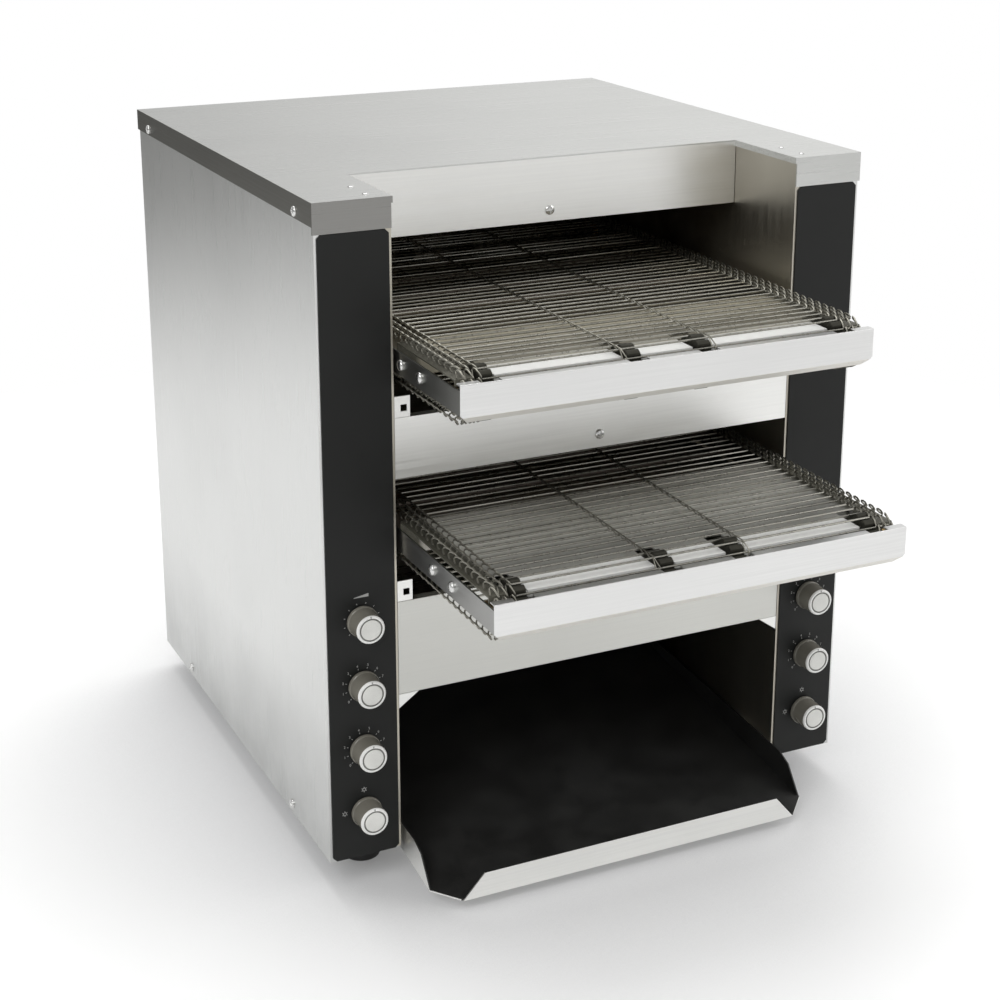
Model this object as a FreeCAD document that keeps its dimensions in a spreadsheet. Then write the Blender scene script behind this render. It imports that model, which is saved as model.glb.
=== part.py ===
# A counter-top conveyor toaster with two wire belts, one above the other.
# Lengths are in millimetres. X runs to the right, Y to the back and Z up. The drawing frame has y = 0 at the
# case's front and z = 0 at the lower edge of its panels; each finished piece is then moved so that the origin
# lies at the middle of the whole object's footprint, on the counter.
import FreeCAD
import Part
import Sketcher
import os
import re

SIZES = {
    # Case
    "body_width": 470,
    "body_depth": 462,
    "body_height": 528,
    "foot_height": 26,
    "foot_top": 19,
    "foot_bottom": 15,
    "foot_inset_x": 45,
    "foot_inset_y": 48,
    "gauge": 1.2,
    "fit": 0.3,
    "running_fit": 0.05,
    "overrun": 5,
    "flange": 10,
    "opening_width": 348,
    "notch_depth": 91,
    "notch_lip": 5,
    "cover_front_drop": 23.5,
    "cover_side_drop": 18,
    "cover_screw_drop": 12.6,
    "pan_edge": 16,
    "pan_cutout": 100,
    "chamber_depth": 402,
    # Control panels, knobs and switches
    "panel_margin": 2.1,
    "panel_foot": 1,
    "panel_corner": 3,
    "knob_low": 40,
    "knob_step": 54,
    "knob_skirt": 12.5,
    "knob_face": 11.25,
    "knob_proud": 20,
    "knob_gap": 1,
    "knob_skirt_depth": 3,
    "knob_wall": 1.7,
    "knob_hollow": 7,
    "knob_rim": 0.8,
    "knob_disc": 8.1,
    "knob_groove": 1.1,
    "groove_depth": 0.7,
    "pointer_width": 1.4,
    "pointer_depth": 0.5,
    "stem": 3,
    "stem_reach": 12,
    "switch_side": 30,
    "switch_depth": 26,
    "switch_bush": 4.5,
    "switch_bush_proud": 3.5,
    "switch_nut": 7,
    "switch_nut_depth": 2,
    # Fascias, reflectors and rear slide
    "upper_fascia_foot": 475,
    "middle_fascia_foot": 311,
    "middle_fascia_top": 359,
    "lower_fascia_foot": 133,
    "lower_fascia_top": 211,
    "fascia_lip": 8,
    "bracket_width": 12.7,
    "bracket_height": 17,
    "bracket_return": 14,
    "bracket_hole": 5,
    "bracket_hole_inset": 7.6,
    "gusset": 17,
    "gusset_height": 12,
    "upper_screw": 484.5,
    "middle_screw": 322,
    "upper_reflector": 492,
    "lower_reflector": 332,
    "reflector_drop": 14,
    "slide_top": 490,
    "slide_radius": 100,
    "slide_foot": 18,
    "slide_clear": 7,
    # Screws
    "screw_head": 4,
    "screw_head_height": 2.2,
    "screw_shank": 2,
    "screw_length": 8,
    "rivet_head": 2.4,
    "rivet_height": 0.9,
    "rivet_inset": 14,
    "side_screw_front": 36.5,
    "side_screw_back": 37,
    "pan_screw_front": 89,
    "pan_screw_back": 88,
    "rivet_front": 15,
    "rivet_rear": 44,
    # Discharge chute
    "chute_width": 342,
    "chute_slope": 7.6,
    "chute_at_front": -6.9,
    "chute_back": 310,
    "chute_corner": 49.3,
    "chute_reach": 69.1,
    "chute_front_half": 151.4,
    "chute_lip_half": 133.4,
    "chute_lip_lean": 1.5,
    "chute_lip_top": 5,
    "chute_wall_break": 181,
    "chute_wall_high": 28.7,
    "chute_wall_front": 18,
    "chute_wall_low": 15.4,
    "chute_wall_nose": 31.5,
    "chute_nose_height": 9.9,
    "ledge_width": 9,
    "ledge_front": 72,
    # Conveyors
    "upper_axis": 402.4,
    "lower_axis": 261,
    "upper_reach": 115,
    "lower_reach": 169.5,
    "guard_width": 344,
    "guard_top": 14.4,
    "guard_face": 24,
    "guard_lip": 5.3,
    "guard_flange": 7.5,
    "guard_corner": 7,
    "guard_clear": 2.5,
    "rail_face": 171,
    "rail_gauge": 1.5,
    "rail_height": 18,
    "rail_tail": 14,
    "front_bolt": 48.6,
    "second_bolt": 83.9,
    "wall_bolt_front": 243,
    "wall_bolt_rear": 391,
    "bolt_head": 4.4,
    "bolt_head_height": 2.6,
    "bolt_shank": 2.5,
    "wire_pitch": 10,
    "wire_thickness": 2,
    "wheel_teeth": 12,
    "run_links": 42,
    "belt_half": 163,
    "edge_strip": 3,
    "inner_strip": 37.5,
    "wheel_inner": 29.5,
    "wheel_outer": 147.5,
    "wheel_width": 11,
    "tooth_height": 3.5,
    "tooth_half_root": 2.6,
    "tooth_half_pitch": 2.1,
    "tooth_half_tip": 1.2,
    "shaft": 4.75,
    "bush": 7,
    "bush_flange": 11,
    "bush_flange_depth": 3,
    "bush_length": 5,
    "bed_top": 14.2,
    "bed_lip": 5,
    "bed_front": 9,
    "bed_floor": 12,
    "bed_notch": 8,
    "bed_notch_back": 26,
    "upper_bed_step": 96,
    "lower_bed_step": 150,
    "bed_tail": 26,
    "rod": 4,
    "rod_pin": 2,
    "rod_pin_length": 8,
    "rod_ends": 6,
    "rod_first": 195,
    "rod_step": 48,
    "rods_above": 5,
    "rods_below": 4,
    "upper_rods": 77.6,
    "lower_rods": 57,
    # Drives
    "chain_pitch": 6.35,
    "chain_teeth": 12,
    "chain_links": 12,
    "chain_roller": 1.65,
    "chain_inside": 3.2,
    "chain_plate": 1,
    "chain_plate_half": 2.4,
    "chain_offset": 32,
    "sprocket_plate": 2.6,
    "sprocket_hub": 8,
    "sprocket_hub_depth": 4,
    "sprocket_tooth_height": 2,
    "sprocket_half_root": 1.2,
    "sprocket_half_pitch": 1,
    "sprocket_half_tip": 0.5,
    "gearbox_depth": 25,
    "gearbox_length": 60,
    "gearbox_height": 50,
    "motor": 18,
    "motor_length": 70,
    "motor_shaft": 4,
    "shaft_spare": 3,
    # Rear panel, fan, terminals and power gland
    "fan_side": 120,
    "fan_depth": 38,
    "fan_bore": 57,
    "fan_hub": 25,
    "fan_blades": 7,
    "fan_pitch": 35,
    "fan_motor": 22,
    "fan_motor_depth": 10,
    "fan_spoke": 3,
    "fan_blade_gap": 2,
    "fan_blade": 1.6,
    "fan_blade_width": 22,
    "fan_pin": 3,
    "fan_height": 250,
    "fan_screw": 52.5,
    "grille_slots": 9,
    "grille_step": 11,
    "grille_slot": 6,
    "louvre_count": 9,
    "louvre_step": 13,
    "louvre_slot": 4,
    "louvre_length": 90,
    "louvre_side": 150,
    "louvre_foot": 330,
    "gland_side": 150,
    "gland_height": 60,
    "gland_bore": 6,
    "gland_thread": 10,
    "gland_collar": 16,
    "gland_collar_depth": 4,
    "gland_dome": 12,
    "gland_inside": 8,
    "gland_proud": 14,
    "block_width": 64,
    "block_side": 60,
    "block_depth": 22,
    "block_height": 18,
    "block_gap": 12.6,
    "block_slot": 8,
    "block_slots": 5,
    "block_slot_depth": 6,
}

# Places and sizes that follow from the ones above.
WORKED = {
    "side_face": "body_width / 2 - gauge",
    "wall_face": "opening_width / 2",
    "wall_back": "wall_face + gauge",
    "under_cover": "body_height - gauge",
    "rear_face": "body_depth - 2 * gauge",
    "tower_middle": "(wall_face + side_face) / 2",
    "fascia_half": "wall_face - fit",
    "panel_top": "body_height - cover_front_drop - fit",
    "front_y": "lower_reach - (lower_reach + body_depth + gland_proud) / 2",
    "chute_half": "chute_width / 2",
    "chute_rise": "tan(chute_slope)",
    "chute_front_z": "chute_at_front - chute_reach * chute_rise",
    "wheel_radius": "wire_pitch / 2 / sin(180 / wheel_teeth)",
    "wheel_flat": "wire_pitch / 2 / tan(180 / wheel_teeth)",
    "belt_length": "run_links * wire_pitch",
    "belt_reach": "wheel_radius + wire_thickness / 2",
    "wheel_tip": "wheel_flat - wire_thickness / 2 - fit",
    "upper_front": "gauge + guard_clear + belt_reach - upper_reach",
    "lower_front": "gauge + guard_clear + belt_reach - lower_reach",
    "chain_radius": "chain_pitch / 2 / sin(180 / chain_teeth)",
    "chain_flat": "chain_pitch / 2 / tan(180 / chain_teeth)",
    "chain_length": "chain_links * chain_pitch",
    "sprocket_tip": "chain_radius - chain_roller - fit",
    "guard_front": "-(belt_reach + guard_clear + gauge)",
    "rail_inner": "rail_face - rail_gauge",
    "chain_x": "wall_back + chain_offset",
    "block_back": "rear_face - block_gap",
    "slide_face": "chamber_depth - 2 * gauge",
    "slide_end_y": "slide_face - slide_radius * (1 - sin(chute_slope)) - slide_foot",
    "slide_end_z": "chute_at_front + slide_end_y * chute_rise + gauge + slide_clear",
    "slide_arc_z": "slide_end_z + slide_foot * chute_rise + slide_radius * cos(chute_slope)",
}

X_AXIS = FreeCAD.Vector(1, 0, 0)
Y_AXIS = FreeCAD.Vector(0, 1, 0)
Z_AXIS = FreeCAD.Vector(0, 0, 1)
AXES = {"x": X_AXIS, "y": Y_AXIS, "z": Z_AXIS}
# How a flat outline is turned into each plane, and the axis that crosses the plane.
TURNS = {
    "XY": FreeCAD.Rotation(),
    "XZ": FreeCAD.Rotation(X_AXIS, 90),
    "YZ": FreeCAD.Rotation(FreeCAD.Vector(1, 1, 1), 120),
}
ACROSS = {"XY": "z", "XZ": "y", "YZ": "x"}
WORD = re.compile("[a-z][a-z_]*")

doc = FreeCAD.newDocument("ConveyorToaster")
homes = {}
nodes = []


def fill_sheet(sheet_name, table):
    """Write one row for each named value, and give its cell the same name."""
    sheet = doc.addObject("Spreadsheet::Sheet", sheet_name)
    for row, (name, value) in enumerate(table.items(), start=1):
        sheet.set(f"A{row}", name)
        sheet.set(f"B{row}", f"={formula(value)}" if isinstance(value, str) else str(value))
        sheet.setAlias(f"B{row}", name)
        homes[name] = name
    for name in table:
        homes[name] = f"{sheet_name}.{name}"
    doc.recompute()


def formula(text):
    """Put the name of its sheet before each named value in the text."""
    return WORD.sub(lambda word: homes.get(word.group(), word.group()), text)


def count(name):
    """A whole number from the first sheet, for a loop."""
    return int(doc.Sizes.get(name))


def bind(thing, **places):
    """Tie properties of a thing to the named values. A double underscore stands for a dot."""
    for key, text in places.items():
        thing.setExpression(key.replace("__", "."), formula(text))
    return thing


def box(name, x, y, z):
    """A block between pairs of places along X, Y and Z."""
    block = doc.addObject("Part::Box", name)
    for letter, side, (low, high) in zip("xyz", ("Length", "Width", "Height"), (x, y, z)):
        block.setExpression("Placement.Base." + letter, formula(low))
        block.setExpression(side, formula(f"({high}) - ({low})"))
    return block


def bar(name, axis, radius, start, end, x="0", y="0", z="0"):
    """A round bar along an axis, from start to end, through the place given by the other two."""
    piece = doc.addObject("Part::Cylinder", name)
    turn = {"x": FreeCAD.Rotation(Y_AXIS, 90), "y": FreeCAD.Rotation(X_AXIS, -90), "z": FreeCAD.Rotation()}
    piece.Placement = FreeCAD.Placement(FreeCAD.Vector(), turn[axis])
    places = {"x": x, "y": y, "z": z, axis: start}
    for letter, place in places.items():
        piece.setExpression("Placement.Base." + letter, formula(place))
    return bind(piece, Radius=radius, Height=f"({end}) - ({start})")


def tie_corners(sketch, points, closed):
    """Draw a line of straight edges and fix each corner at its place."""
    total = len(points)
    edges = total if closed else total - 1
    rough = [FreeCAD.Vector(step, step * step / total, 0) for step in range(total)]
    for edge in range(edges):
        sketch.addGeometry(Part.LineSegment(rough[edge], rough[(edge + 1) % total]), False)
    for edge in range(edges if closed else edges - 1):
        sketch.addConstraint(Sketcher.Constraint("Coincident", edge, 2, (edge + 1) % edges, 1))
    for corner, places in enumerate(points):
        edge, end = (corner, 1) if corner < edges else (edges - 1, 2)
        for kind, place, start in zip(("DistanceX", "DistanceY"), places, rough[corner]):
            index = sketch.addConstraint(Sketcher.Constraint(kind, -1, 1, edge, end, start))
            sketch.setExpression(f"Constraints[{index}]", formula(place))


def outline(name, plane, points, closed=True, level="0"):
    """An outline lying across an axis at the given level."""
    sketch = doc.addObject("Sketcher::SketchObject", name)
    sketch.Placement = FreeCAD.Placement(FreeCAD.Vector(), TURNS[plane])
    sketch.setExpression("Placement.Base." + ACROSS[plane], formula(level))
    tie_corners(sketch, points, closed)
    return sketch


def body_outline(body, name, plane, points, level="0"):
    """An outline on one of a body's own planes, moved along the plane's normal by the level."""
    sketch = body.newObject("Sketcher::SketchObject", name)
    role = plane + "_Plane"
    base = [feature for feature in body.Origin.OriginFeatures if feature.Role == role][0]
    sketch.AttachmentSupport = [(base, "")]
    sketch.MapMode = "FlatFace"
    sketch.setExpression("AttachmentOffset.Base.z", formula(level))
    tie_corners(sketch, points, True)
    return sketch


def extrude(name, source, axis, start, end):
    """Draw a flat shape out along an axis."""
    block = doc.addObject("Part::Extrusion", name)
    block.Base = source
    block.DirMode = "Custom"
    block.Dir = AXES[axis]
    block.Solid = True
    return bind(block, LengthFwd=f"({end}) - ({start})")


def prism(name, plane, points, start, end):
    """A straight block with the given outline."""
    flat = outline(name + "_outline", plane, points, level=start)
    return extrude(name, flat, ACROSS[plane], start, end)


def bent_sheet(name, plane, points, start, end, thickness="gauge"):
    """A folded sheet. Its metal lies on the right of the line through the points, or on the left in XZ."""
    line = outline(name + "_line", plane, points, closed=False, level=start)
    skin = doc.addObject("Part::Offset2D", name + "_skin")
    skin.Source = line
    skin.Mode = "Skin"
    skin.Fill = True
    bind(skin, Value=thickness)
    return extrude(name, skin, ACROSS[plane], start, end)


def mirrored(points):
    """The same line of points on the other side of the middle, walked the other way."""
    return [(f"-({across})", along) for across, along in reversed(points)]


def group(name, pieces):
    """Several pieces held as one."""
    together = doc.addObject("Part::Compound", name)
    together.Links = pieces
    return together


def copy_at(name, pieces, x="0", y="0", z="0", axis=X_AXIS, angle=0):
    """The same pieces again at another place, turned about an axis first."""
    copy = group(name, pieces)
    copy.Placement = FreeCAD.Placement(FreeCAD.Vector(), FreeCAD.Rotation(axis, angle))
    for letter, place in zip("xyz", (x, y, z)):
        copy.setExpression("Placement.Base." + letter, formula(place))
    return copy


def mirror(name, source):
    """The same piece on the other side of the middle."""
    other = doc.addObject("Part::Mirroring", name)
    other.Source = source
    other.Normal = X_AXIS
    return other


def cut(name, base, tools):
    """A piece with the tools' shapes taken out of it."""
    result = doc.addObject("Part::Cut", name)
    result.Base = base
    result.Tool = tools[0] if len(tools) == 1 else group(name + "_tools", tools)
    return result


def join(name, pieces):
    """Pieces made into one."""
    result = doc.addObject("Part::MultiFuse", name)
    result.Shapes = pieces
    result.Refine = True
    return result


def node(name, pieces, y="0", z="0"):
    """A finished sub-part, moved from the drawing frame to the counter."""
    part = copy_at(name + "_part", pieces, y=f"front_y + ({y})", z=f"foot_height + ({z})")
    part.Label = name
    nodes.append(part)
    return part


def revolve(name, plane, points, axis):
    """A body turned about one of its outline's own axes."""
    body = doc.addObject("PartDesign::Body", name)
    sketch = body_outline(body, name + "_half", plane, points)
    turned = body.newObject("PartDesign::Revolution", name + "_turned")
    turned.Profile = sketch
    turned.ReferenceAxis = (sketch, [axis])
    turned.Angle = 360
    return body


# Screws. Each stands in a hole through the sheets under its head.

def screw_parts():
    """One pan-head screw, the hole it needs and one rivet, all pointing up."""
    head = bar("screw_head_disc", "z", "screw_head", "0", "screw_head_height")
    shank = bar("screw_shank_bar", "z", "screw_shank", "-screw_length", "screw_head_height / 2")
    screw = join("screw", [head, shank])
    hole = bar("screw_hole", "z", "screw_shank + fit", "-screw_length - fit", "overrun")
    rivet = bar("rivet", "z", "rivet_head", "0", "rivet_height")
    return screw, hole, rivet


OUTWARD = {
    "left": (Y_AXIS, -90),
    "right": (Y_AXIS, 90),
    "front": (X_AXIS, 90),
    "rear": (X_AXIS, -90),
    "up": (X_AXIS, 0),
}


def case_screw_places():
    """Where the case screws sit, with the side that each head faces."""
    places = []
    half = "body_width / 2"
    for side, sign in (("left", "-"), ("right", "")):
        for y in ("side_screw_front", "body_depth - side_screw_back"):
            places.append((side, f"{sign}{half}", y, "body_height - cover_screw_drop"))
        for y in ("pan_screw_front", "body_depth - pan_screw_back"):
            places.append((side, f"{sign}side_face", y, "pan_edge / 2"))
        for z in ("pan_edge * 2", "body_height / 2", "body_height - pan_edge * 2"):
            places.append(("rear", f"{sign}(side_face - flange / 2)", "body_depth - gauge", z))
        for lift in ("-", "+"):
            places.append(("rear", f"{sign}fan_screw", "body_depth - gauge", f"fan_height {lift} fan_screw"))
    places.append(("front", "0", "notch_depth", "upper_screw"))
    places.append(("front", "0", "gauge", "middle_screw"))
    return places


screw_holes = []


def case_screws(screw, hole, rivet):
    """All the case's screws and rivets, and the holes that they need."""
    pieces = []
    for number, (side, x, y, z) in enumerate(case_screw_places()):
        axis, angle = OUTWARD[side]
        pieces.append(copy_at(f"case_screw_{number}", [screw], x, y, z, axis, angle))
        screw_holes.append(copy_at(f"case_screw_hole_{number}", [hole], x, y, z, axis, angle))
    for sign in ("-", ""):
        for y in ("rivet_front", "rivet_rear"):
            x = f"{sign}(wall_face + rivet_inset)"
            pieces.append(copy_at(f"rivet_{len(pieces)}", [rivet], x, y, "body_height"))
    node("case_screws", pieces)


# Case

def top_cover():
    """The cover: a notched plate with its edges turned down."""
    half = "body_width / 2"
    notch = "wall_face - gauge"
    rim = [("-" + half, "0"), (f"-({notch})", "0"), (f"-({notch})", "notch_depth"), (notch, "notch_depth"),
           (notch, "0"), (half, "0"), (half, "body_depth"), ("-" + half, "body_depth")]
    inner = [("-side_face", "gauge"), ("-wall_face", "gauge"), ("-wall_face", "notch_depth"),
             ("wall_face", "notch_depth"), ("wall_face", "gauge"), ("side_face", "gauge"),
             ("side_face", "body_depth - gauge"), ("-side_face", "body_depth - gauge")]
    body = doc.addObject("PartDesign::Body", "cover")
    pad = body.newObject("PartDesign::Pad", "cover_block")
    pad.Profile = body_outline(body, "cover_rim", "XY", rim, "body_height - cover_front_drop")
    bind(pad, Length="cover_front_drop")
    hollow = body.newObject("PartDesign::Pocket", "cover_hollow")
    hollow.Profile = body_outline(body, "cover_inside", "XY", inner, "body_height - cover_front_drop")
    hollow.Reversed = True
    bind(hollow, Length="cover_front_drop - gauge")
    lifted = box("cover_side_trim", ("-body_width", "body_width"), ("gauge", "body_depth + overrun"),
                 ("body_height - cover_front_drop - overrun", "body_height - cover_side_drop"))
    lips = box("cover_notch_trim", ("-wall_face", "wall_face"), ("-overrun", "notch_depth"),
               ("body_height - cover_front_drop - overrun", "body_height - notch_lip"))
    node("top_cover", [cut("cover_trimmed", body, [join("cover_trims", [lifted, lips])] + screw_holes)])


def side_panels():
    """The two outer side panels, folded in at the front and the back."""
    left = [("-side_face + flange", "gauge"), ("-side_face", "gauge"),
            ("-side_face", "rear_face"), ("-side_face + flange", "rear_face")]
    for side, points in (("left", left), ("right", mirrored(left))):
        sheet = bent_sheet(f"{side}_side_sheet", "XY", points, "0", "under_cover")
        node(f"{side}_side_panel", [cut(f"{side}_side_drilled", sheet, screw_holes)])


def base_pan():
    """The floor of the case, with turned-up sides and a cut-out for the chute."""
    edge = "side_face - gauge"
    line = [(f"-({edge})", "pan_edge"), (f"-({edge})", "0"), (edge, "0"), (edge, "pan_edge")]
    sheet = bent_sheet("pan_sheet", "XZ", line, "2 * gauge", "rear_face - gauge")
    mouth = box("pan_mouth", ("-wall_back - fit", "wall_back + fit"), ("-overrun", "pan_cutout"),
                ("-overrun", "overrun"))
    node("base_pan", [cut("pan_cut", sheet, [mouth] + screw_holes)])


def feet():
    """Four tapered feet."""
    profile = [("0", "0"), ("foot_top", "0"), ("foot_bottom", "-foot_height"), ("0", "-foot_height")]
    foot = revolve("foot", "XZ", profile, "V_Axis")
    pieces = []
    for sign in ("-", ""):
        for y in ("foot_inset_y", "body_depth - foot_inset_y"):
            x = f"{sign}(body_width / 2 - foot_inset_x)"
            pieces.append(copy_at(f"foot_{len(pieces)}", [foot], x, y))
    node("feet", pieces)


def rear_panel():
    """The back, with louvre slots, a slotted fan grille and the gland's hole."""
    sheet = box("rear_sheet", ("-side_face + fit", "side_face - fit"), ("rear_face", "body_depth - gauge"),
                ("gauge", "under_cover - fit"))
    through = ("rear_face - overrun", "body_depth + overrun")
    cutters = [bar("gland_hole", "y", "gland_thread + fit", *through, x="-gland_side", z="gland_height")]
    slots = count("grille_slots")
    for slot in range(slots):
        middle = f"{slot - (slots - 1) / 2} * grille_step"
        tall = f"sqrt((fan_bore - grille_slot) ^ 2 - ({middle}) ^ 2)"
        across = (f"{middle} - grille_slot / 2", f"{middle} + grille_slot / 2")
        cutters.append(box(f"grille_slot_{slot}", across, through,
                           (f"fan_height - {tall}", f"fan_height + {tall}")))
    for sign in ("-", ""):
        for row in range(count("louvre_count")):
            low = f"louvre_foot + {row} * louvre_step"
            side = (f"{sign}louvre_side - louvre_length / 2", f"{sign}louvre_side + louvre_length / 2")
            cutters.append(box(f"louvre_{row}_{len(cutters)}", side, through, (low, f"{low} + louvre_slot")))
    node("rear_panel", [cut("rear_cut", sheet, cutters + screw_holes)])


def chamber_walls(openings):
    """The two inner walls that hold the conveyors, with the ledges that the chute slides on."""
    left = [("-wall_face", "chamber_depth"), ("-wall_face", "gauge"), ("-wall_face - flange", "gauge")]
    under = "chute_at_front - fit"
    ledge = [("ledge_front", f"{under} + ledge_front * chute_rise"),
             ("chute_back", f"{under} + chute_back * chute_rise"),
             ("chute_back", f"{under} + chute_back * chute_rise - gauge"),
             ("ledge_front", f"{under} + ledge_front * chute_rise - gauge")]
    reach = ("wall_face - ledge_width", "wall_face")
    for side, points, place in (("left", left, ("-wall_face", "-wall_face + ledge_width")),
                                ("right", mirrored(left), reach)):
        sheet = bent_sheet(f"{side}_wall_sheet", "XY", points, "gauge", "under_cover")
        shelf = prism(f"{side}_ledge", "YZ", ledge, *place)
        pierced = cut(f"{side}_wall_pierced", sheet, [group(f"{side}_wall_openings", openings)])
        node(f"{side}_chamber_wall", [join(f"{side}_wall", [pierced, shelf])])


def control_panels():
    """The two black panels that carry the knobs, with clipped corners and a hole for each switch."""
    low, high = "wall_face + panel_margin", "side_face - panel_margin"
    foot, top = "panel_foot", "panel_top"
    nip = "panel_corner"
    points = [(f"{low} + {nip}", foot), (f"{high} - {nip}", foot), (high, f"{foot} + {nip}"),
              (high, f"{top} - {nip}"), (f"{high} - {nip}", top), (f"{low} + {nip}", top),
              (low, f"{top} - {nip}"), (low, f"{foot} + {nip}")]
    plate = prism("panel_plate", "XZ", points, "0", "gauge")
    holes = [bar(f"panel_hole_{number}", "y", "switch_bush + fit", "-overrun", "overrun", x="tower_middle",
                 z=f"knob_low + {number} * knob_step") for number in range(len(KNOBS))]
    panel = cut("panel", plate, holes)
    node("right_control_panel", [panel])
    node("left_control_panel", [mirror("panel_mirrored", panel)])


def fascias():
    """The three cross sheets between the openings, and their end brackets and gussets."""
    side = ("-fascia_half", "fascia_half")
    turn = "gauge + fascia_lip"
    upper = [(f"notch_depth + {turn}", "upper_fascia_foot"), ("notch_depth", "upper_fascia_foot"),
             ("notch_depth", "under_cover")]
    sheet = bent_sheet("upper_fascia_sheet", "YZ", upper, *side)
    node("upper_fascia", [cut("upper_fascia_drilled", sheet, screw_holes)])
    for name in ("middle", "lower"):
        line = [(turn, f"{name}_fascia_foot"), ("gauge", f"{name}_fascia_foot"),
                ("gauge", f"{name}_fascia_top"), (turn, f"{name}_fascia_top")]
        sheet = bent_sheet(f"{name}_fascia_sheet", "YZ", line, *side)
        node(f"{name}_fascia", [cut(f"{name}_fascia_drilled", sheet, screw_holes)])
    pieces = []
    line = [("fascia_half", "gauge + bracket_return"), ("fascia_half", "gauge"),
            ("fascia_half - bracket_width", "gauge")]
    for name in ("middle", "lower"):
        foot = f"{name}_fascia_top"
        angle = bent_sheet(f"{name}_bracket_sheet", "XY", line, foot, f"{foot} + bracket_height")
        middle = "fascia_half - bracket_hole_inset"
        window = box(f"{name}_bracket_window", (f"{middle} - bracket_hole / 2", f"{middle} + bracket_hole / 2"),
                     ("0", "2 * gauge + fit"), (f"{foot} + bracket_hole", f"{foot} + 2 * bracket_hole"))
        bracket = cut(f"{name}_bracket", angle, [window])
        pieces += [bracket, mirror(f"{name}_bracket_mirrored", bracket)]
    corner = [("fascia_half", "lower_fascia_foot"), ("fascia_half - gusset", "lower_fascia_foot"),
              ("fascia_half", "lower_fascia_foot - gusset_height")]
    plate = prism("gusset_plate", "XZ", corner, "gauge", "2 * gauge")
    node("fascia_brackets", pieces + [plate, mirror("gusset_mirrored", plate)])


def reflectors():
    """The two bright sheets over the upper heater rods, folded down behind the fascias."""
    pieces = []
    for name, front, back in (("upper", "notch_depth + gauge", "slide_face - fit"),
                              ("lower", "2 * gauge", "lower_front + belt_length + belt_reach")):
        level = f"{name}_reflector"
        line = [(front, f"{level} - reflector_drop"), (front, level), (back, level)]
        sheet = bent_sheet(f"{name}_reflector_sheet", "YZ", line, "-fascia_half", "fascia_half")
        pieces.append(cut(f"{name}_reflector_drilled", sheet, screw_holes))
    node("reflectors", pieces)


def rear_slide():
    """The sheet behind the belts that turns falling bread forward onto the chute."""
    line = [("slide_end_y", "slide_end_z")]
    steps = 8
    for step in range(steps + 1):
        angle = f"(90 - chute_slope) * {(steps - step) / steps}"
        line.append((f"slide_face - slide_radius * (1 - cos({angle}))",
                     f"slide_arc_z - slide_radius * sin({angle})"))
    line.append(("slide_face", "slide_top"))
    node("rear_slide", [bent_sheet("slide_sheet", "YZ", line, "-fascia_half", "fascia_half")])


def power_gland():
    """The threaded collar on the rear panel where the supply comes in."""
    place = {"x": "-gland_side", "z": "gland_height"}
    skin = "body_depth - gauge"
    tail = "body_depth + gland_proud"
    pieces = [bar("gland_flange", "y", "gland_collar", skin, f"{skin} + gland_collar_depth", **place),
              bar("gland_cap", "y", "gland_dome", skin, tail, **place),
              bar("gland_tube", "y", "gland_thread", "rear_face - gland_inside", f"{skin} + overrun", **place),
              bar("gland_nut", "y", "gland_collar", "rear_face - gland_collar_depth", "rear_face", **place)]
    bore = bar("gland_bore_hole", "y", "gland_bore", "rear_face - gland_inside - overrun",
               f"{tail} + overrun", **place)
    node("power_gland", [cut("gland", join("gland_body", pieces), [bore])])


def terminal_block():
    """The block on the base pan where the supply wires end."""
    back = ("block_back - block_depth", "block_back")
    top = "gauge + block_height"
    body = box("block_body", ("block_side - block_width / 2", "block_side + block_width / 2"), back,
               ("gauge", top))
    slots = []
    total = count("block_slots")
    for slot in range(total):
        middle = f"block_side + {slot - (total - 1) / 2} * block_width / {total}"
        slots.append(box(f"block_slot_{slot}", (f"{middle} - block_slot / 2", f"{middle} + block_slot / 2"),
                         ("block_back - block_depth / 2", "block_back + overrun"),
                         (f"{top} - block_slot_depth", f"{top} + overrun")))
    node("terminal_block", [cut("block", body, slots)])


# Fan

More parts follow.
